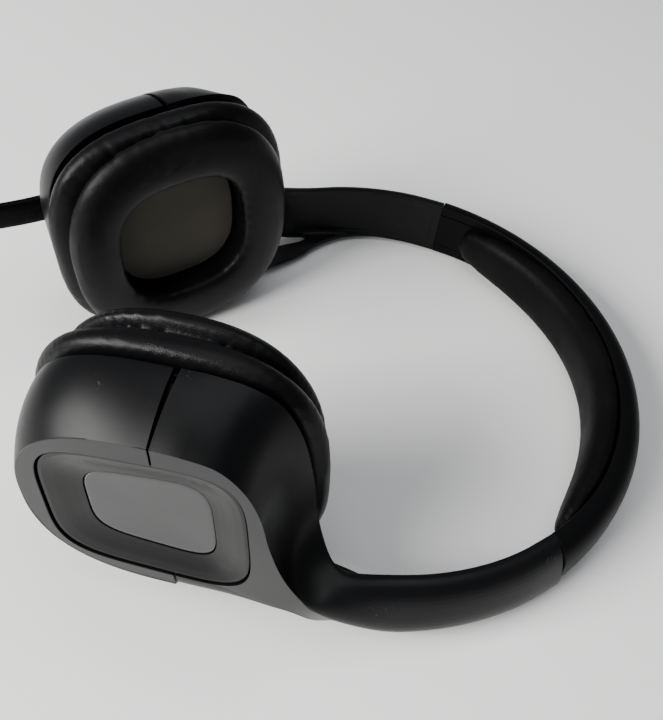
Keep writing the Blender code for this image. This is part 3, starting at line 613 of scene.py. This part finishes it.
def inflate(obj, voxel, pressure, cap, pinned):
    """Swells a soft form as a cloth skin round foam would, and keeps each point within cap millimetres of its start."""
    modify(obj, "voxels", "REMESH", mode="VOXEL", voxel_size=voxel * MM)
    settle_modifiers(obj)
    start = read_points(obj.data)
    simulate(obj, pressure, np.nonzero(pinned(from_world(start)))[0])
    moved = read_points(obj.data)
    if len(moved) == len(start):
        shift = moved - start
        size = np.linalg.norm(shift, axis=1, keepdims=True)
        shift *= np.minimum(1.0, cap * MM / np.maximum(size, 1e-9))
        write_points(obj.data, start + shift)
    modify(obj, "finer", "SUBSURF", levels=1, render_levels=1)
    settle_modifiers(obj)
    obj.data.shade_smooth()


# the cushion's profile from its opening over the rear lobe, the groove and the front lobe: (outline, grow, q)
CUSHION_ROWS = [
    (EAR_OPENING, 0.4, -21.2), (EAR_OPENING, 0.5, -16.5), (EAR_OPENING, 0.9, -12.0), (EAR_OPENING, 2.2, -7.6),
    (REAR_LOBE, -9.2, -6.8), (REAR_LOBE, -5.0, -5.9), (REAR_LOBE, -1.9, -6.5), (REAR_LOBE, -0.5, -8.3),
    (REAR_LOBE, -0.2, -10.6), (REAR_LOBE, -0.9, -12.7), (GROOVE, 0.0, -14.4), (GROOVE, -0.9, GROOVE_Q),
    (FRONT_LOBE, -1.4, -16.2), (FRONT_LOBE, -0.4, -17.4), (FRONT_LOBE, -0.3, -19.2), (FRONT_LOBE, -1.9, -21.6),
    (FRONT_LOBE, -4.8, -23.1), (FRONT_LOBE, -8.5, -23.7), (EAR_OPENING, 6.5, -23.7), (EAR_OPENING, 3.4, -23.3),
    (EAR_OPENING, 1.3, -22.5)]


def cushion_mesh(side, count=200):
    """The cushion's ring: every row of its profile at every angle."""
    rows = [[cup_point(side, p, q, s) for p, s in outline_loop(shape, count, grow)] for shape, grow, q in CUSHION_ROWS]
    return skin([round_section([row[k] for row in rows], 120, 0.5) for k in range(count)], ring=True)


def outline_distance(shape, places, samples=720):
    """How far points stand outside an outline in the cup's plane, roughly, with the outline's turn at each."""
    turns = np.linspace(0, 2 * math.pi, samples, endpoint=False)
    edge = np.array([outline_point(shape, t + 1e-3) for t in turns])
    bearing = np.arctan2(places[:, 2] - shape[4], places[:, 0] - shape[3])
    edge_bearing = np.unwrap(np.arctan2(edge[:, 1] - shape[4], edge[:, 0] - shape[3]))
    radius = np.interp(np.mod(bearing - edge_bearing[0], 2 * math.pi) + edge_bearing[0], edge_bearing,
                       np.hypot(edge[:, 0] - shape[3], edge[:, 1] - shape[4]), period=2 * math.pi)
    return np.hypot(places[:, 2] - shape[4], places[:, 0] - shape[3]) - radius, bearing


# the sewn groove: depth, width and passes of smoothing. The left cushion's is gathered over a worn stretch
GROOVE_TUCK = {LEFT: (3.4, 0.75, 3), RIGHT: (3.2, 1.0, 9)}
WORN_BEARING, WORN_SPREAD = 1.74, 0.46


def tuck_groove(cushion, side):
    """Pulls the skin in along the sewn groove between the two lobes."""
    place = cup_places(side, from_world(read_points(cushion.data)))
    outside, bearing = outline_distance(GROOVE, place)
    depth, width, passes = GROOVE_TUCK[side]
    pull = depth * np.exp(-((place[:, 1] - GROOVE_Q) / width) ** 2) * np.clip((outside + 8.0) / 2.0, 0.0, 1.0)
    place[:, 0] -= pull * np.cos(bearing)
    place[:, 2] -= pull * np.sin(bearing)
    points = np.stack(cup_point(side, place[:, 0], place[:, 1], place[:, 2]), axis=1)
    write_points(cushion.data, to_world(points))
    modify(cushion, "relaxed", "SMOOTH", factor=0.5, iterations=passes)
    settle_modifiers(cushion)
    cushion.data.shade_smooth()


def cushion_relief(side, points):
    """Pleats beside the groove, folds on the worn stretch, a slow unevenness and the stitched rim of the opening."""
    place = cup_places(side, points)
    q = place[:, 1]
    outside, bearing = outline_distance(GROOVE, place)
    slow = ripple(points, 0.045, 5.0) * 0.5 + 0.5
    away = (bearing - WORN_BEARING + math.pi) % (2 * math.pi) - math.pi
    worn = np.exp(-(away / WORN_SPREAD) ** 2) * (1.0 if side == LEFT else 0.0)
    gather = np.exp(-((q - GROOVE_Q) / 2.6) ** 2) * (outside > -6.0)
    pleats = 3.4 * ripple(np.stack([bearing * 17, q * 0.10, outside * 0.05], axis=1), 1.0, 3.0)
    folds = ripple(np.stack([bearing * 24, q * 0.16, outside * 0.1], axis=1), 0.5, 9.0)
    inside, _ = outline_distance(EAR_OPENING, place)
    rim = np.exp(-((inside - 1.0) / 1.4) ** 2) * np.exp(-((q + 21.5) / 3.0) ** 2)
    return (gather * pleats * (0.005 + 0.36 * worn) * (0.4 + slow) + 0.24 * worn * folds * (q < -7.0) * (outside > -9.0)
            + (0.07 if side == LEFT else 0.03) * ripple(points, 0.09, 2.0)
            + rim * 0.09 * np.sin(bearing * 31 + 4 * slow))


def build_cushion(side):
    name = SIDE_NAME[side]
    cushion = new_object(f"{name}_cushion", *cushion_mesh(side), "leatherette")

    def pinned(points):
        place = cup_places(side, points)
        outside, _ = outline_distance(GROOVE, place)
        groove = (np.abs(place[:, 1] - GROOVE_Q) < 1.2) & (outside > -6.0)
        return groove | (place[:, 1] > -7.4)

    inflate(cushion, voxel=1.3, pressure=3.0, cap=0.7 if side == LEFT else 0.2, pinned=pinned)
    tuck_groove(cushion, side)
    displace(cushion, lambda points: cushion_relief(side, points))
    attach(cushion, f"{name}_cup", "leatherette", f"{name}_ear_cushion")


def build_grille(side):
    """The acoustic cloth, stretched over the baffle and slightly crowned."""
    name = SIDE_NAME[side]
    edge = outline_loop(EAR_OPENING, 120, -0.15)

    def layer(q, share):
        return [cup_point(side, EAR_OPENING[3] + (p - EAR_OPENING[3]) * share, q - 0.55 * (1 - share ** 2), s * share)
                for p, s in edge]

    shares = [1 - k / 15 for k in range(15)]
    loops = [layer(-12.2, share) for share in reversed(shares)] + [layer(-12.9, share) for share in shares]
    cloth = new_object(f"{name}_grille", *skin(loops), "cloth", 60)
    attach(cloth, f"{name}_cup", "cloth", f"{name}_grille_cloth")


# arms
def build_arm(side, steps=220):
    name = SIDE_NAME[side]
    stations = yoke_stations()
    made = [arm_row(k / steps, stations) for k in range(steps + 1)]
    normals = grid_normals([row for row, _, _ in made])
    n_wall, n_face, _ = SECTION_STEPS
    sections = []
    for (row, rails, solid), line in zip(made, normals):
        inside = [row[-1]] + arm_inside(row, line, rails, solid) + [row[0]]
        edges = (row[:n_wall + 1], row[n_wall:n_wall + n_face + 1], row[n_wall + n_face:], inside)
        section = round_spans(list(zip(edges, ARM_SPANS)), 0.34)
        sections.append(ease_corner(section, ARM_SPANS[0] + ARM_SPANS[1], 2.6))
    sections = ease_neck(np.array(sections), steps)
    arm = new_object(f"{name}_arm_shell", *skin([section * (1, side, 1) for section in sections]), "shell")
    first, last = ARM_SPANS[0], ARM_SPANS[0] + ARM_SPANS[1]
    widths = [max(np.linalg.norm(section[last] - section[first]), 0.1) for section in sections]
    # painted shade: a dark band at the facet's lower edge keeps the shell's matt black
    spans = [(first, last - max(3, math.ceil(PAINTED_SHADE_BAND * ARM_SPANS[1] / width))) for width in widths]
    finish_facet(arm, sum(ARM_SPANS), spans)
    plate = outline_loop(PLATE, 200, PLATE_GAP)
    window = round_section([(x, out, 0.0) for x, out in WINDOW], 60, 0.8)
    first, last = ARM_START + 2.0, ARM_COVER_END
    cutters = (skin([[cup_point(side, p, q, s) for p, s in plate] for q in (RING_Q - 6.0, RING_Q + 4.0)]),
               skin([[(x, side * out, z) for x, out, _ in window] for z in (-18.0, -3.5)]),
               strip_sweep(side, first, last, -2.0, 1.2, 7.8, 1.2))
    carve(arm, cutters)
    attach(arm, f"{name}_arm", "shell", f"{name}_yoke_arm", (0.28, 48))
    strip = strip_sweep(side, first + 0.03, last - 0.03, 0.0, 1.12, 7.76, 1.16)
    cover = new_object(f"{name}_arm_cover", *strip, "shell")
    attach(cover, f"{name}_arm", "shell", f"{name}_arm_inner_cover", (0.2, 40))


def ease_neck(sections, steps):
    """Evens out the neck between yoke and arm along its length, and leaves both ends as they are."""
    share = np.arange(steps + 1) / steps
    amount = np.clip((share - 0.36) / 0.10, 0, 1) * np.clip((0.86 - share) / 0.10, 0, 1)
    reach, weights = bell(0.022 * steps)
    padded = np.concatenate([sections[:1]] * reach + [sections] + [sections[-1:]] * reach)
    smooth = sum(w * padded[k:k + steps + 1] for k, w in enumerate(weights))
    return sections + (smooth - sections) * amount[:, None, None]


def strip_sweep(side, first, last, out0, out1, half, corner, steps=80):
    """A strip bent round the band's circle, with rounded corners seen from inside the band."""
    loops = []
    for k in range(steps + 1):
        angle = first + (last - first) * (0.5 - 0.5 * math.cos(math.pi * k / steps))
        reach = math.radians(min(angle - first, last - angle)) * BAND_RADIUS
        ease = 1.0 if reach > corner else math.sqrt(max(0.0, 1 - (1 - reach / corner) ** 2))
        width = half - corner * (1 - ease)
        row = []
        for out, direction in ((out0, 1), (out1, -1)):
            row += [band_point(side, angle, out, direction * width * (1 - 2 * j / 6)) for j in range(7)]
        loops.append(row)
    return skin(loops)


# ear cups
def lower_share(share):
    """0 on the shell's upper half, 1 on its lower half, and in between over a short stretch."""
    return clamp((share - 0.45) / 0.15)


def build_front_shell(side, steps=200, walls=22):
    name = SIDE_NAME[side]
    under = RING_Q - WALL
    loops, spans = [], []
    first, last = SHELL_SPANS[0], SHELL_SPANS[0] + SHELL_SPANS[1]
    for k in range(steps + 1):
        share = k / steps
        edge = shell_edge(PLATE, PLATE_GAP, SEAM_P_FACE - SEAM_HALF_FACE, share)
        outer = [shell_wall(share, j / walls) for j in range(walls + 1)]
        inner = [shell_wall(share, 1 - j / walls, WALL, under) for j in range(walls + 1)]
        lip = [Vector((edge.x, RING_Q, edge.y)), Vector((edge.x, under, edge.y))]
        edges = (outer, [outer[-1], lip[0]], lip, [lip[1]] + inner + [outer[0]])
        row = round_spans([([cup_point(side, *place) for place in part], count)
                           for part, count in zip(edges, SHELL_SPANS)], 0.30)
        loops.append(row + (ease_corner(row, first, 2.2) - row) * lower_share(share))
        # painted shade: on the lower half the facet's first 7 columns keep the shell's matt black, a dark band along
        # the facet's lower edge
        spans.append((first + round(7 * lower_share(share)), last))
    shell = new_object(f"{name}_front_cover", *skin(loops), "shell")
    finish_facet(shell, sum(SHELL_SPANS), spans)
    if side == LEFT:
        slots = [wall_pad(share, along + travel / 2 + GAP, up + GAP, [(-5.0, 0.0), (3.0, 0.0)], travel / 2)
                 for share, along, up, travel in CONTROLS.values()]
        carve(shell, slots + [SOCKET_SLOT])
    attach(shell, f"{name}_cup", "shell", f"{name}_front_shell", (0.25, 48))


def socket_form(depth, half_q, half_s, p):
    """A slot with round ends through the front of the left cup, at the charging socket."""
    outline = outline_loop((half_s, half_q, 4.0, 0.0, 0.0, 0.0), 48, start=SMALL_START)
    return skin([[cup_point(LEFT, p + end, 3.5 + b, -14.0 + a) for a, b in outline] for end in (-depth, depth)])


def wall_pad(share, half_along, half_up, rows, shift=0.0):
    """A rounded pad square to the left cup's lower wall: rows of (height, how much smaller)."""
    middle, along, up, out = wall_frame(share)
    loops = []
    for height, inset in rows:
        outline = outline_loop((half_along - inset, half_up - inset, 4.0, shift, 0.0, 0.0), 64, start=SMALL_START)
        loops.append([cup_point(LEFT, *(middle + along * a + up * b + out * height)) for a, b in outline])
    return skin(loops)


SOCKET_SLOT = socket_form(5.0, 1.6, 4.4, -38.5)
# the controls on the lower wall: share of the way round, half length, half width, travel
CONTROLS = {"volume_rocker": (0.961, 6.5, 2.4, 0.0), "mute_button": (0.891, 2.6, 2.4, 0.0),
            "power_switch": (0.836, 2.0, 1.6, 1.2)}


def build_controls():
    for name, (share, along, up, _) in CONTROLS.items():
        rows = [(CONTROL_BASE, 0.0), (CONTROL_TOP - 0.5, 0.0), (CONTROL_TOP - 0.18, 0.12), (CONTROL_TOP, 0.5),
                (CONTROL_TOP - 0.04, 1.2)]
        control = new_object(f"{name}_cap", *wall_pad(share, along, up, rows), "control", 60)
        attach(control, name, "face", name)


# the plate's section: (share of the way from its outline to the centre's, grow, q)
PLATE_ROWS = ((0.0, -0.3, 13.3), (0.0, 0.12, 13.5), (0.0, 0.12, 15.1), (0.02, 0.0, 15.4), (0.10, -0.1, 15.4),
              (0.35, -0.1, 14.75), (0.62, 0.0, 13.9), (0.84, 0.1, 13.3), (1.0, 0.14, 12.95), (1.0, 0.14, 11.4))
CENTRE_Q, CENTRE_DISH = 12.8, 0.35


def build_plate(side, count=240):
    """The dished ring round the centre, with its skirt."""
    name = SIDE_NAME[side]
    rows = []
    for share, grow, q in PLATE_ROWS:
        pairs = zip(outline_loop(PLATE, count, grow), outline_loop(INSET, count, grow))
        rows.append([cup_point(side, a[0] + (b[0] - a[0]) * share, q, a[1] + (b[1] - a[1]) * share) for a, b in pairs])
    loops = []
    for points in zip(*rows):
        edges = zip(points, points[1:] + points[:1])
        loops.append(round_spans(list(zip(edges, PLATE_SPANS)), 0.16))
    plate = new_object(f"{name}_plate", *skin(loops, ring=True), "face", 50)
    attach(plate, f"{name}_cup", "face", f"{name}_outer_plate")


def build_centre(side):
    """The glossy centre, a push button on the right, with a softly dished face."""
    name = SIDE_NAME[side]
    rows = [(1.0, -0.05, 11.85), (1.0, 0.0, 12.3), (1.0, -0.08, 12.6), (1.0, -0.3, 12.76), (1.0, -0.7, CENTRE_Q)]
    rows += [(share, -0.7, CENTRE_Q - CENTRE_DISH * (1 - share ** 2))
             for share in (0.93, 0.85, 0.75, 0.62, 0.48, 0.33, 0.18, 0.05)]
    loops = [[cup_point(side, INSET[3] + (p - INSET[3]) * share, q, s * share) for p, s in
              outline_loop(INSET, 220, grow)] for share, grow, q in rows]
    centre = new_object(f"{name}_centre", *skin(loops), "gloss", 50)
    attach(centre, *(("centre_button", "gloss", "right_centre_button") if side == RIGHT else
                     ("left_cup", "gloss", "left_centre_cap")))


# boom
def boom_bar(first, last, steps, half_width, half_thickness):
    """A flat, rounded bar along the boom's line."""
    loops = []
    for k in range(steps + 1):
        share = k / steps
        d = first + (last - first) * share
        along = (boom_line(d + 0.5) - boom_line(d - 0.5)).normalized()
        across = along.cross(Vector((0, 1, 0))).normalized()
        up = across.cross(along).normalized()
        shape = (half_width(share), half_thickness(share), 3.2, 0.0, 0.0, 0.0)
        loops.append([cup_point(LEFT, *(boom_line(d) + across * a + up * b))
                      for a, b in outline_loop(shape, 56, start=SMALL_START)])
    return skin(loops)


def build_boom():
    hub_rows = [(BOOM_HUB_RADIUS - inset, q) for inset, q in (
        (0.4, 13.9), (0.0, 14.3), (0.0, 16.2), (0.3, 16.4), (0.3, 16.7), (0.0, 16.9), (0.0, 21.0), (0.25, 21.5),
        (0.9, 21.85), (3.0, 21.8))]
    rows = [(5.3, 13.9)] + hub_rows + [(5.9, 21.5), (5.45, 21.6), (5.3, 21.4)]
    hub = new_object("boom_disc", *lathe(rows, BOOM_P, BOOM_S, ring=True), "matt", 35)
    attach(hub, "boom", "shell", "boom_hub")
    tip = BOOM_LENGTH - MIC_LENGTH
    bar = boom_bar(BOOM_HUB_RADIUS + GAP, tip, 90, lambda t: 5.5 - t, lambda t: 1.7)
    blade = new_object("boom_blade", *bar, "matt", 50)
    attach(blade, "boom", "shell", "boom_arm", (0.25, 50))
    bar = boom_bar(tip + GAP, BOOM_LENGTH, 40, lambda t: 5.2 * (1 - 0.75 * t ** 4) ** 0.5,
                   lambda t: 2.5 * (1 - 0.8 * t ** 4) ** 0.5)
    end = new_object("mic_cover", *bar, "soft", 50)
    holes = []
    for back, radius, top in ((9.0, 2.3, 0.4), (12.0, 0.55, 0.0), (6.0, 0.55, 0.0)):
        spot = boom_line(BOOM_LENGTH - back)
        holes.append(lathe([(radius, spot.y - 4.0), (radius, spot.y + top)], spot.x, spot.z, 32))
    carve(end, holes)
    attach(end, "boom", "inner", "mic_shell", (0.2, 45))


# materials
class Surface:
    """A Principled material with helpers for procedural detail. Positions are the object's own, in metres."""

    def __init__(self, name, colour, roughness, metallic=0.0, specular=0.5, coat=0.0, sheen=0.0):
        self.name = name
        self.made = bpy.data.materials.new(name)
        self.made.use_nodes = True
        self.tree = self.made.node_tree
        self.shader = self.tree.nodes["Principled BSDF"]
        for key, value in (("Base Color", (*colour, 1.0)), ("Roughness", roughness), ("Metallic", metallic),
                           ("Specular IOR Level", specular), ("Coat Weight", coat), ("Coat Roughness", 0.12),
                           ("Sheen Weight", sheen), ("Sheen Roughness", 0.5)):
            self.shader.inputs[key].default_value = value
        self.place = self.tree.nodes.new("ShaderNodeTexCoord").outputs["Object"]
        self.height = None

    def node(self, kind, inputs, **settings):
        """A node whose inputs are set to numbers or linked to other nodes' outputs."""
        made = self.tree.nodes.new(kind)
        for key, value in settings.items():
            setattr(made, key, value)
        for key, value in inputs.items():
            if isinstance(value, bpy.types.NodeSocket):
                self.tree.links.new(value, made.inputs[key])
            else:
                made.inputs[key].default_value = value
        return made

    def noise(self, scale, detail=3.0, rough=0.5, stretch=None, distortion=0.0):
        place = self.place
        if stretch:
            place = self.node("ShaderNodeMapping", {"Vector": place, "Scale": stretch}).outputs["Vector"]
        inputs = {"Vector": place, "Scale": scale, "Detail": detail, "Roughness": rough, "Distortion": distortion}
        return self.node("ShaderNodeTexNoise", inputs).outputs["Fac"]

    def cells(self, scale, feature="F1"):
        """Distance to the nearest of scattered points, or to the nearest border between them."""
        inputs = {"Vector": self.place, "Scale": scale}
        return self.node("ShaderNodeTexVoronoi", inputs, feature=feature).outputs["Distance"]

    def span(self, value, low, high, to_low, to_high, kind="SMOOTHSTEP"):
        inputs = {"Value": value, "From Min": low, "From Max": high, "To Min": to_low, "To Max": to_high}
        return self.node("ShaderNodeMapRange", inputs, interpolation_type=kind).outputs["Result"]

    def times(self, a, b):
        return self.node("ShaderNodeMath", {0: a, 1: b}, operation="MULTIPLY").outputs[0]

    def tint(self, factor, other):
        """Mixes another colour into the base colour where factor is high."""
        socket = self.shader.inputs["Base Color"]
        base = socket.links[0].from_socket if socket.is_linked else tuple(socket.default_value)
        made = self.node("ShaderNodeMix", {"A": base, "B": (*other, 1.0), "Factor": factor}, data_type="RGBA")
        self.tree.links.new(made.outputs["Result"], socket)

    def dust(self, scale, near, far, patches, low, amount, colour):
        """Specks in a few patches; gives back where the patches are."""
        where = self.span(self.noise(patches, 2.0), low, low + 0.12, 0.0, amount)
        self.tint(self.times(self.span(self.cells(scale), near, far, 1.0, 0.0), where), colour)
        return where

    def vary_roughness(self, factor, low, high):
        self.tree.links.new(self.span(factor, 0.3, 0.7, low, high), self.shader.inputs["Roughness"])

    def bump(self, height, depth_mm, strength=1.0):
        """Adds relief; height runs from 0 to 1 over depth_mm."""
        inputs = {"Strength": strength, "Distance": depth_mm * MM, "Height": height}
        if self.height:
            inputs["Normal"] = self.height
        self.height = self.node("ShaderNodeBump", inputs).outputs["Normal"]
        self.tree.links.new(self.height, self.shader.inputs["Normal"])


def moulded(name, colour, roughness, spread, grain, dust=0.0, specular=0.5, coat=0.0):
    """Moulded plastic: a fine eroded texture, rubbed patches and, where asked, specks of dust and lint."""
    made = Surface(name, colour, roughness, specular=specular, coat=coat)
    made.vary_roughness(made.noise(38.0, 4.0, 0.6), roughness - spread, roughness + spread)
    made.tint(made.span(made.noise(14.0, 3.0), 0.35, 0.75, 0.0, 0.5), tuple(min(1.0, c * 1.35 + 0.002) for c in colour))
    made.bump(made.noise(5200.0, 2.0), grain)
    made.bump(made.noise(120.0, 2.0), 0.03, 0.35)
    if dust:
        where = made.dust(900.0, 0.05, 0.12, 60.0, 0.60, dust, (0.42, 0.42, 0.41))
        lint = made.span(made.noise(420.0, 1.0, 0.4, (1.0, 0.18, 1.0), 1.4), 0.735, 0.765, 0.0, dust * 0.6)
        made.tint(made.times(lint, where), (0.30, 0.30, 0.30))
    return made


def facet_finish_and_shade():
    """The satin ring round the plate, its colour fading along X into the arm's matt black at its far end as painted
    shade.
    """
    made = moulded("facet", (0.0105, 0.0108, 0.0114), 0.30, 0.03, 0.006, dust=0.5, specular=0.30)
    along = made.node("ShaderNodeSeparateXYZ", {"Vector": made.place}).outputs["X"]
    # painted shade: the ring's colour darkens to matt black along X, towards the arm
    made.tint(made.span(along, -0.006, 0.016, 0.0, 1.0, "LINEAR"), MATT_BLACK)
    return made


def leather(name, colour, roughness, specular):
    """Soft synthetic leather: pebbled grain, fine creases and a little dust."""
    made = Surface(name, colour, roughness, specular=specular)
    made.vary_roughness(made.noise(55.0, 4.0), roughness - 0.07, roughness + 0.08)
    made.tint(made.span(made.noise(24.0, 3.0), 0.4, 0.75, 0.0, 0.55), tuple(c * 1.7 + 0.003 for c in colour))
    made.bump(made.span(made.cells(1500.0, "DISTANCE_TO_EDGE"), 0.0, 0.22, 0.0, 1.0), 0.018)
    made.bump(made.noise(620.0, 4.0, 0.65), 0.035, 0.6)
    made.bump(made.noise(150.0, 3.0, 0.6, None, 0.6), 0.07, 0.5)
    made.dust(700.0, 0.04, 0.10, 45.0, 0.64, 0.15, (0.30, 0.29, 0.28))
    return made


def knitted(name, colour):
    """Thin acoustic cloth: rows of small loops with the foam showing between them."""
    made = Surface(name, colour, 0.92, specular=0.18, sheen=0.25)
    waves = [made.node("ShaderNodeTexWave", {"Vector": made.place, "Scale": scale, "Distortion": 0.6},
                       wave_type="BANDS", bands_direction=axis).outputs["Fac"] for axis, scale in KNIT_SCALES]
    loops = made.times(*waves)
    made.tint(made.span(loops, 0.05, 0.6, 0.75, 0.0), tuple(c * 0.6 for c in colour))
    made.tint(made.span(made.noise(30.0, 3.0), 0.4, 0.8, 0.0, 0.5), tuple(c * 1.4 for c in colour))
    made.bump(loops, 0.12)
    return made


def metal(name, colour, roughness):
    made = Surface(name, colour, roughness, metallic=1.0)
    brushed = made.noise(60.0, 4.0, 0.6, (6.0, 6.0, 300.0))
    made.vary_roughness(brushed, roughness - 0.06, roughness + 0.10)
    made.bump(brushed, 0.006)
    made.tint(made.span(made.noise(90.0), 0.45, 0.8, 0.0, 0.4), tuple(c * 0.75 for c in colour))
    return made


def layered(name, colour, other, scale, roughness):
    """Boards, films and foil: two tones in small cells, with a slight relief."""
    made = Surface(name, colour, roughness)
    cells = made.cells(scale)
    made.tint(made.span(cells, 0.25, 0.45, 0.0, 0.8), other)
    made.vary_roughness(made.noise(scale * 0.5), roughness - 0.08, roughness + 0.08)
    made.bump(cells, 0.02)
    return made


def table_top():
    made = Surface("table", (0.93, 0.93, 0.92), 0.12, specular=0.4)
    made.vary_roughness(made.noise(3.0, 2.0), 0.10, 0.14)
    made.bump(made.noise(9.0, 1.0), 0.05, 0.2)
    return made


MATT_BLACK = (0.0022, 0.0023, 0.0027)
KNIT_SCALES = (("X", 900.0), ("Z", 1050.0))
# plastics: colour, roughness, its spread, depth of the grain in mm, and where they aren't plain dust, specular, coat
PLASTICS = {
    "shell": (MATT_BLACK, 0.36, 0.04, 0.010, 0.5, 0.155),
    "matt": ((0.0020, 0.0021, 0.0024), 0.44, 0.04, 0.012, 0.3, 0.055),
    "face": ((0.0022, 0.0023, 0.0026), 0.30, 0.03, 0.007, 0.3, 0.20),
    "gloss": ((0.019, 0.0196, 0.0204), 0.20, 0.03, 0.003, 0.0, 0.34, 0.12),
    "control": ((0.03, 0.03, 0.032), 0.42, 0.04, 0.010),
    "soft": ((0.006, 0.006, 0.0065), 0.62, 0.05, 0.016, 0.0, 0.3),
    "inner": ((0.006, 0.006, 0.006), 0.62, 0.05, 0.015, 0.0, 0.25),
}
SURFACES = [moulded(name, *numbers) for name, numbers in PLASTICS.items()] + [
    facet_finish_and_shade(),
    leather("leatherette", (0.0016, 0.0016, 0.0019), 0.37, 0.13),
    leather("padding", (0.0016, 0.0016, 0.0018), 0.50, 0.06),
    knitted("cloth", (0.075, 0.066, 0.048)),
    metal("blackened", (0.035, 0.035, 0.037), 0.42),
    metal("steel", (0.55, 0.55, 0.56), 0.32),
    layered("board", (0.012, 0.075, 0.03), (0.02, 0.13, 0.05), 420.0, 0.45),
    layered("cell", (0.30, 0.31, 0.33), (0.24, 0.25, 0.27), 160.0, 0.35),
    layered("film", (0.42, 0.26, 0.08), (0.50, 0.33, 0.12), 260.0, 0.35),
]
MATERIALS = {surface.name: surface.made for surface in SURFACES}


# table, light and camera
LIT_POINT = Vector((0.0, 0.0, 0.03))
ROOM_LIGHT = 0.24
CAMERA_AT = (-0.0174, -0.1993, 0.2403)
CAMERA_ACROSS, CAMERA_AHEAD = Vector((0.98, -0.153, 0.127)), Vector((0.196, 0.631, -0.751))
LENS, SENSOR = 45.644, 36.0
LENS_SHIFT = (-0.0239305556, 0.0094305556)
TABLE_HALF = 4


def build_stage():
    mesh = bpy.data.meshes.new("table")
    corners = [(x * TABLE_HALF, y * TABLE_HALF, 0) for x, y in ((-1, -1), (1, -1), (1, 1), (-1, 1))]
    mesh.from_pydata(corners, [], [(0, 1, 2, 3)])
    mesh.materials.append(table_top().made)
    table = bpy.data.objects.new("table", mesh)
    bpy.context.scene.collection.objects.link(table)


def area_light(name, place, size, power, colour):
    light = bpy.data.lights.new(name, "AREA")
    light.shape = "RECTANGLE"
    light.size, light.size_y = size
    light.energy = power
    light.color = colour
    made = bpy.data.objects.new(name, light)
    made.location = place
    made.rotation_euler = (LIT_POINT - Vector(place)).to_track_quat("-Z", "Y").to_euler()
    bpy.context.scene.collection.objects.link(made)


def build_lights():
    world = bpy.data.worlds.new("room")
    world.use_nodes = True
    back = world.node_tree.nodes["Background"]
    back.inputs["Color"].default_value = (0.92, 0.94, 1.0, 1.0)
    back.inputs["Strength"].default_value = ROOM_LIGHT
    bpy.context.scene.world = world
    area_light("window", (-1.10, -0.36, 0.74), (0.9, 0.65), 46.0, (1.0, 0.99, 0.97))
    area_light("over", (0.05, 0.0, 1.5), (1.2, 1.2), 8.0, (0.98, 0.99, 1.0))


def build_camera():
    """The camera, placed in the headset's own frame and carried into the row's."""
    across, ahead = CAMERA_ACROSS.normalized(), CAMERA_AHEAD.normalized()
    up = across.cross(ahead).normalized()
    across = ahead.cross(up)
    own = Matrix.Translation(CAMERA_AT) @ Matrix((across, up, -ahead)).transposed().to_4x4()
    data = bpy.data.cameras.new("camera")
    data.sensor_width = SENSOR
    data.lens = LENS
    data.shift_x, data.shift_y = LENS_SHIFT
    data.clip_start = 0.01
    camera = bpy.data.objects.new("camera", data)
    camera.matrix_world = Matrix.Translation(ROOT_AT) @ Matrix.Rotation(TIP_ANGLE, 4, "Y") @ own
    bpy.context.scene.collection.objects.link(camera)
    bpy.context.scene.camera = camera


BLACKENED = ("slide_tongue", "pivot_pin", "boom_pivot_post", "boom_washer")


def dress_frame():
    """Gives each CAD node that still shows its own procedural material, by the record's slots."""
    slots = {entry["node"]: entry["material_slot"] for entry in frame["record"]["subparts"]}
    for name, obj in frame["nodes"].items():
        chosen = MATERIALS["blackened" if name.endswith(BLACKENED) else slots[name]]
        if not obj.material_slots:
            obj.data.materials.append(chosen)
        for entry in obj.material_slots:
            entry.material = chosen


build_camera()
build_stage()
build_lights()
build_band()
build_head_pad()
for cup_side in (RIGHT, LEFT):
    build_arm(cup_side)
    build_front_shell(cup_side)
    build_plate(cup_side)
    build_centre(cup_side)
    build_cushion(cup_side)
    build_grille(cup_side)
build_controls()
build_boom()
dress_frame()
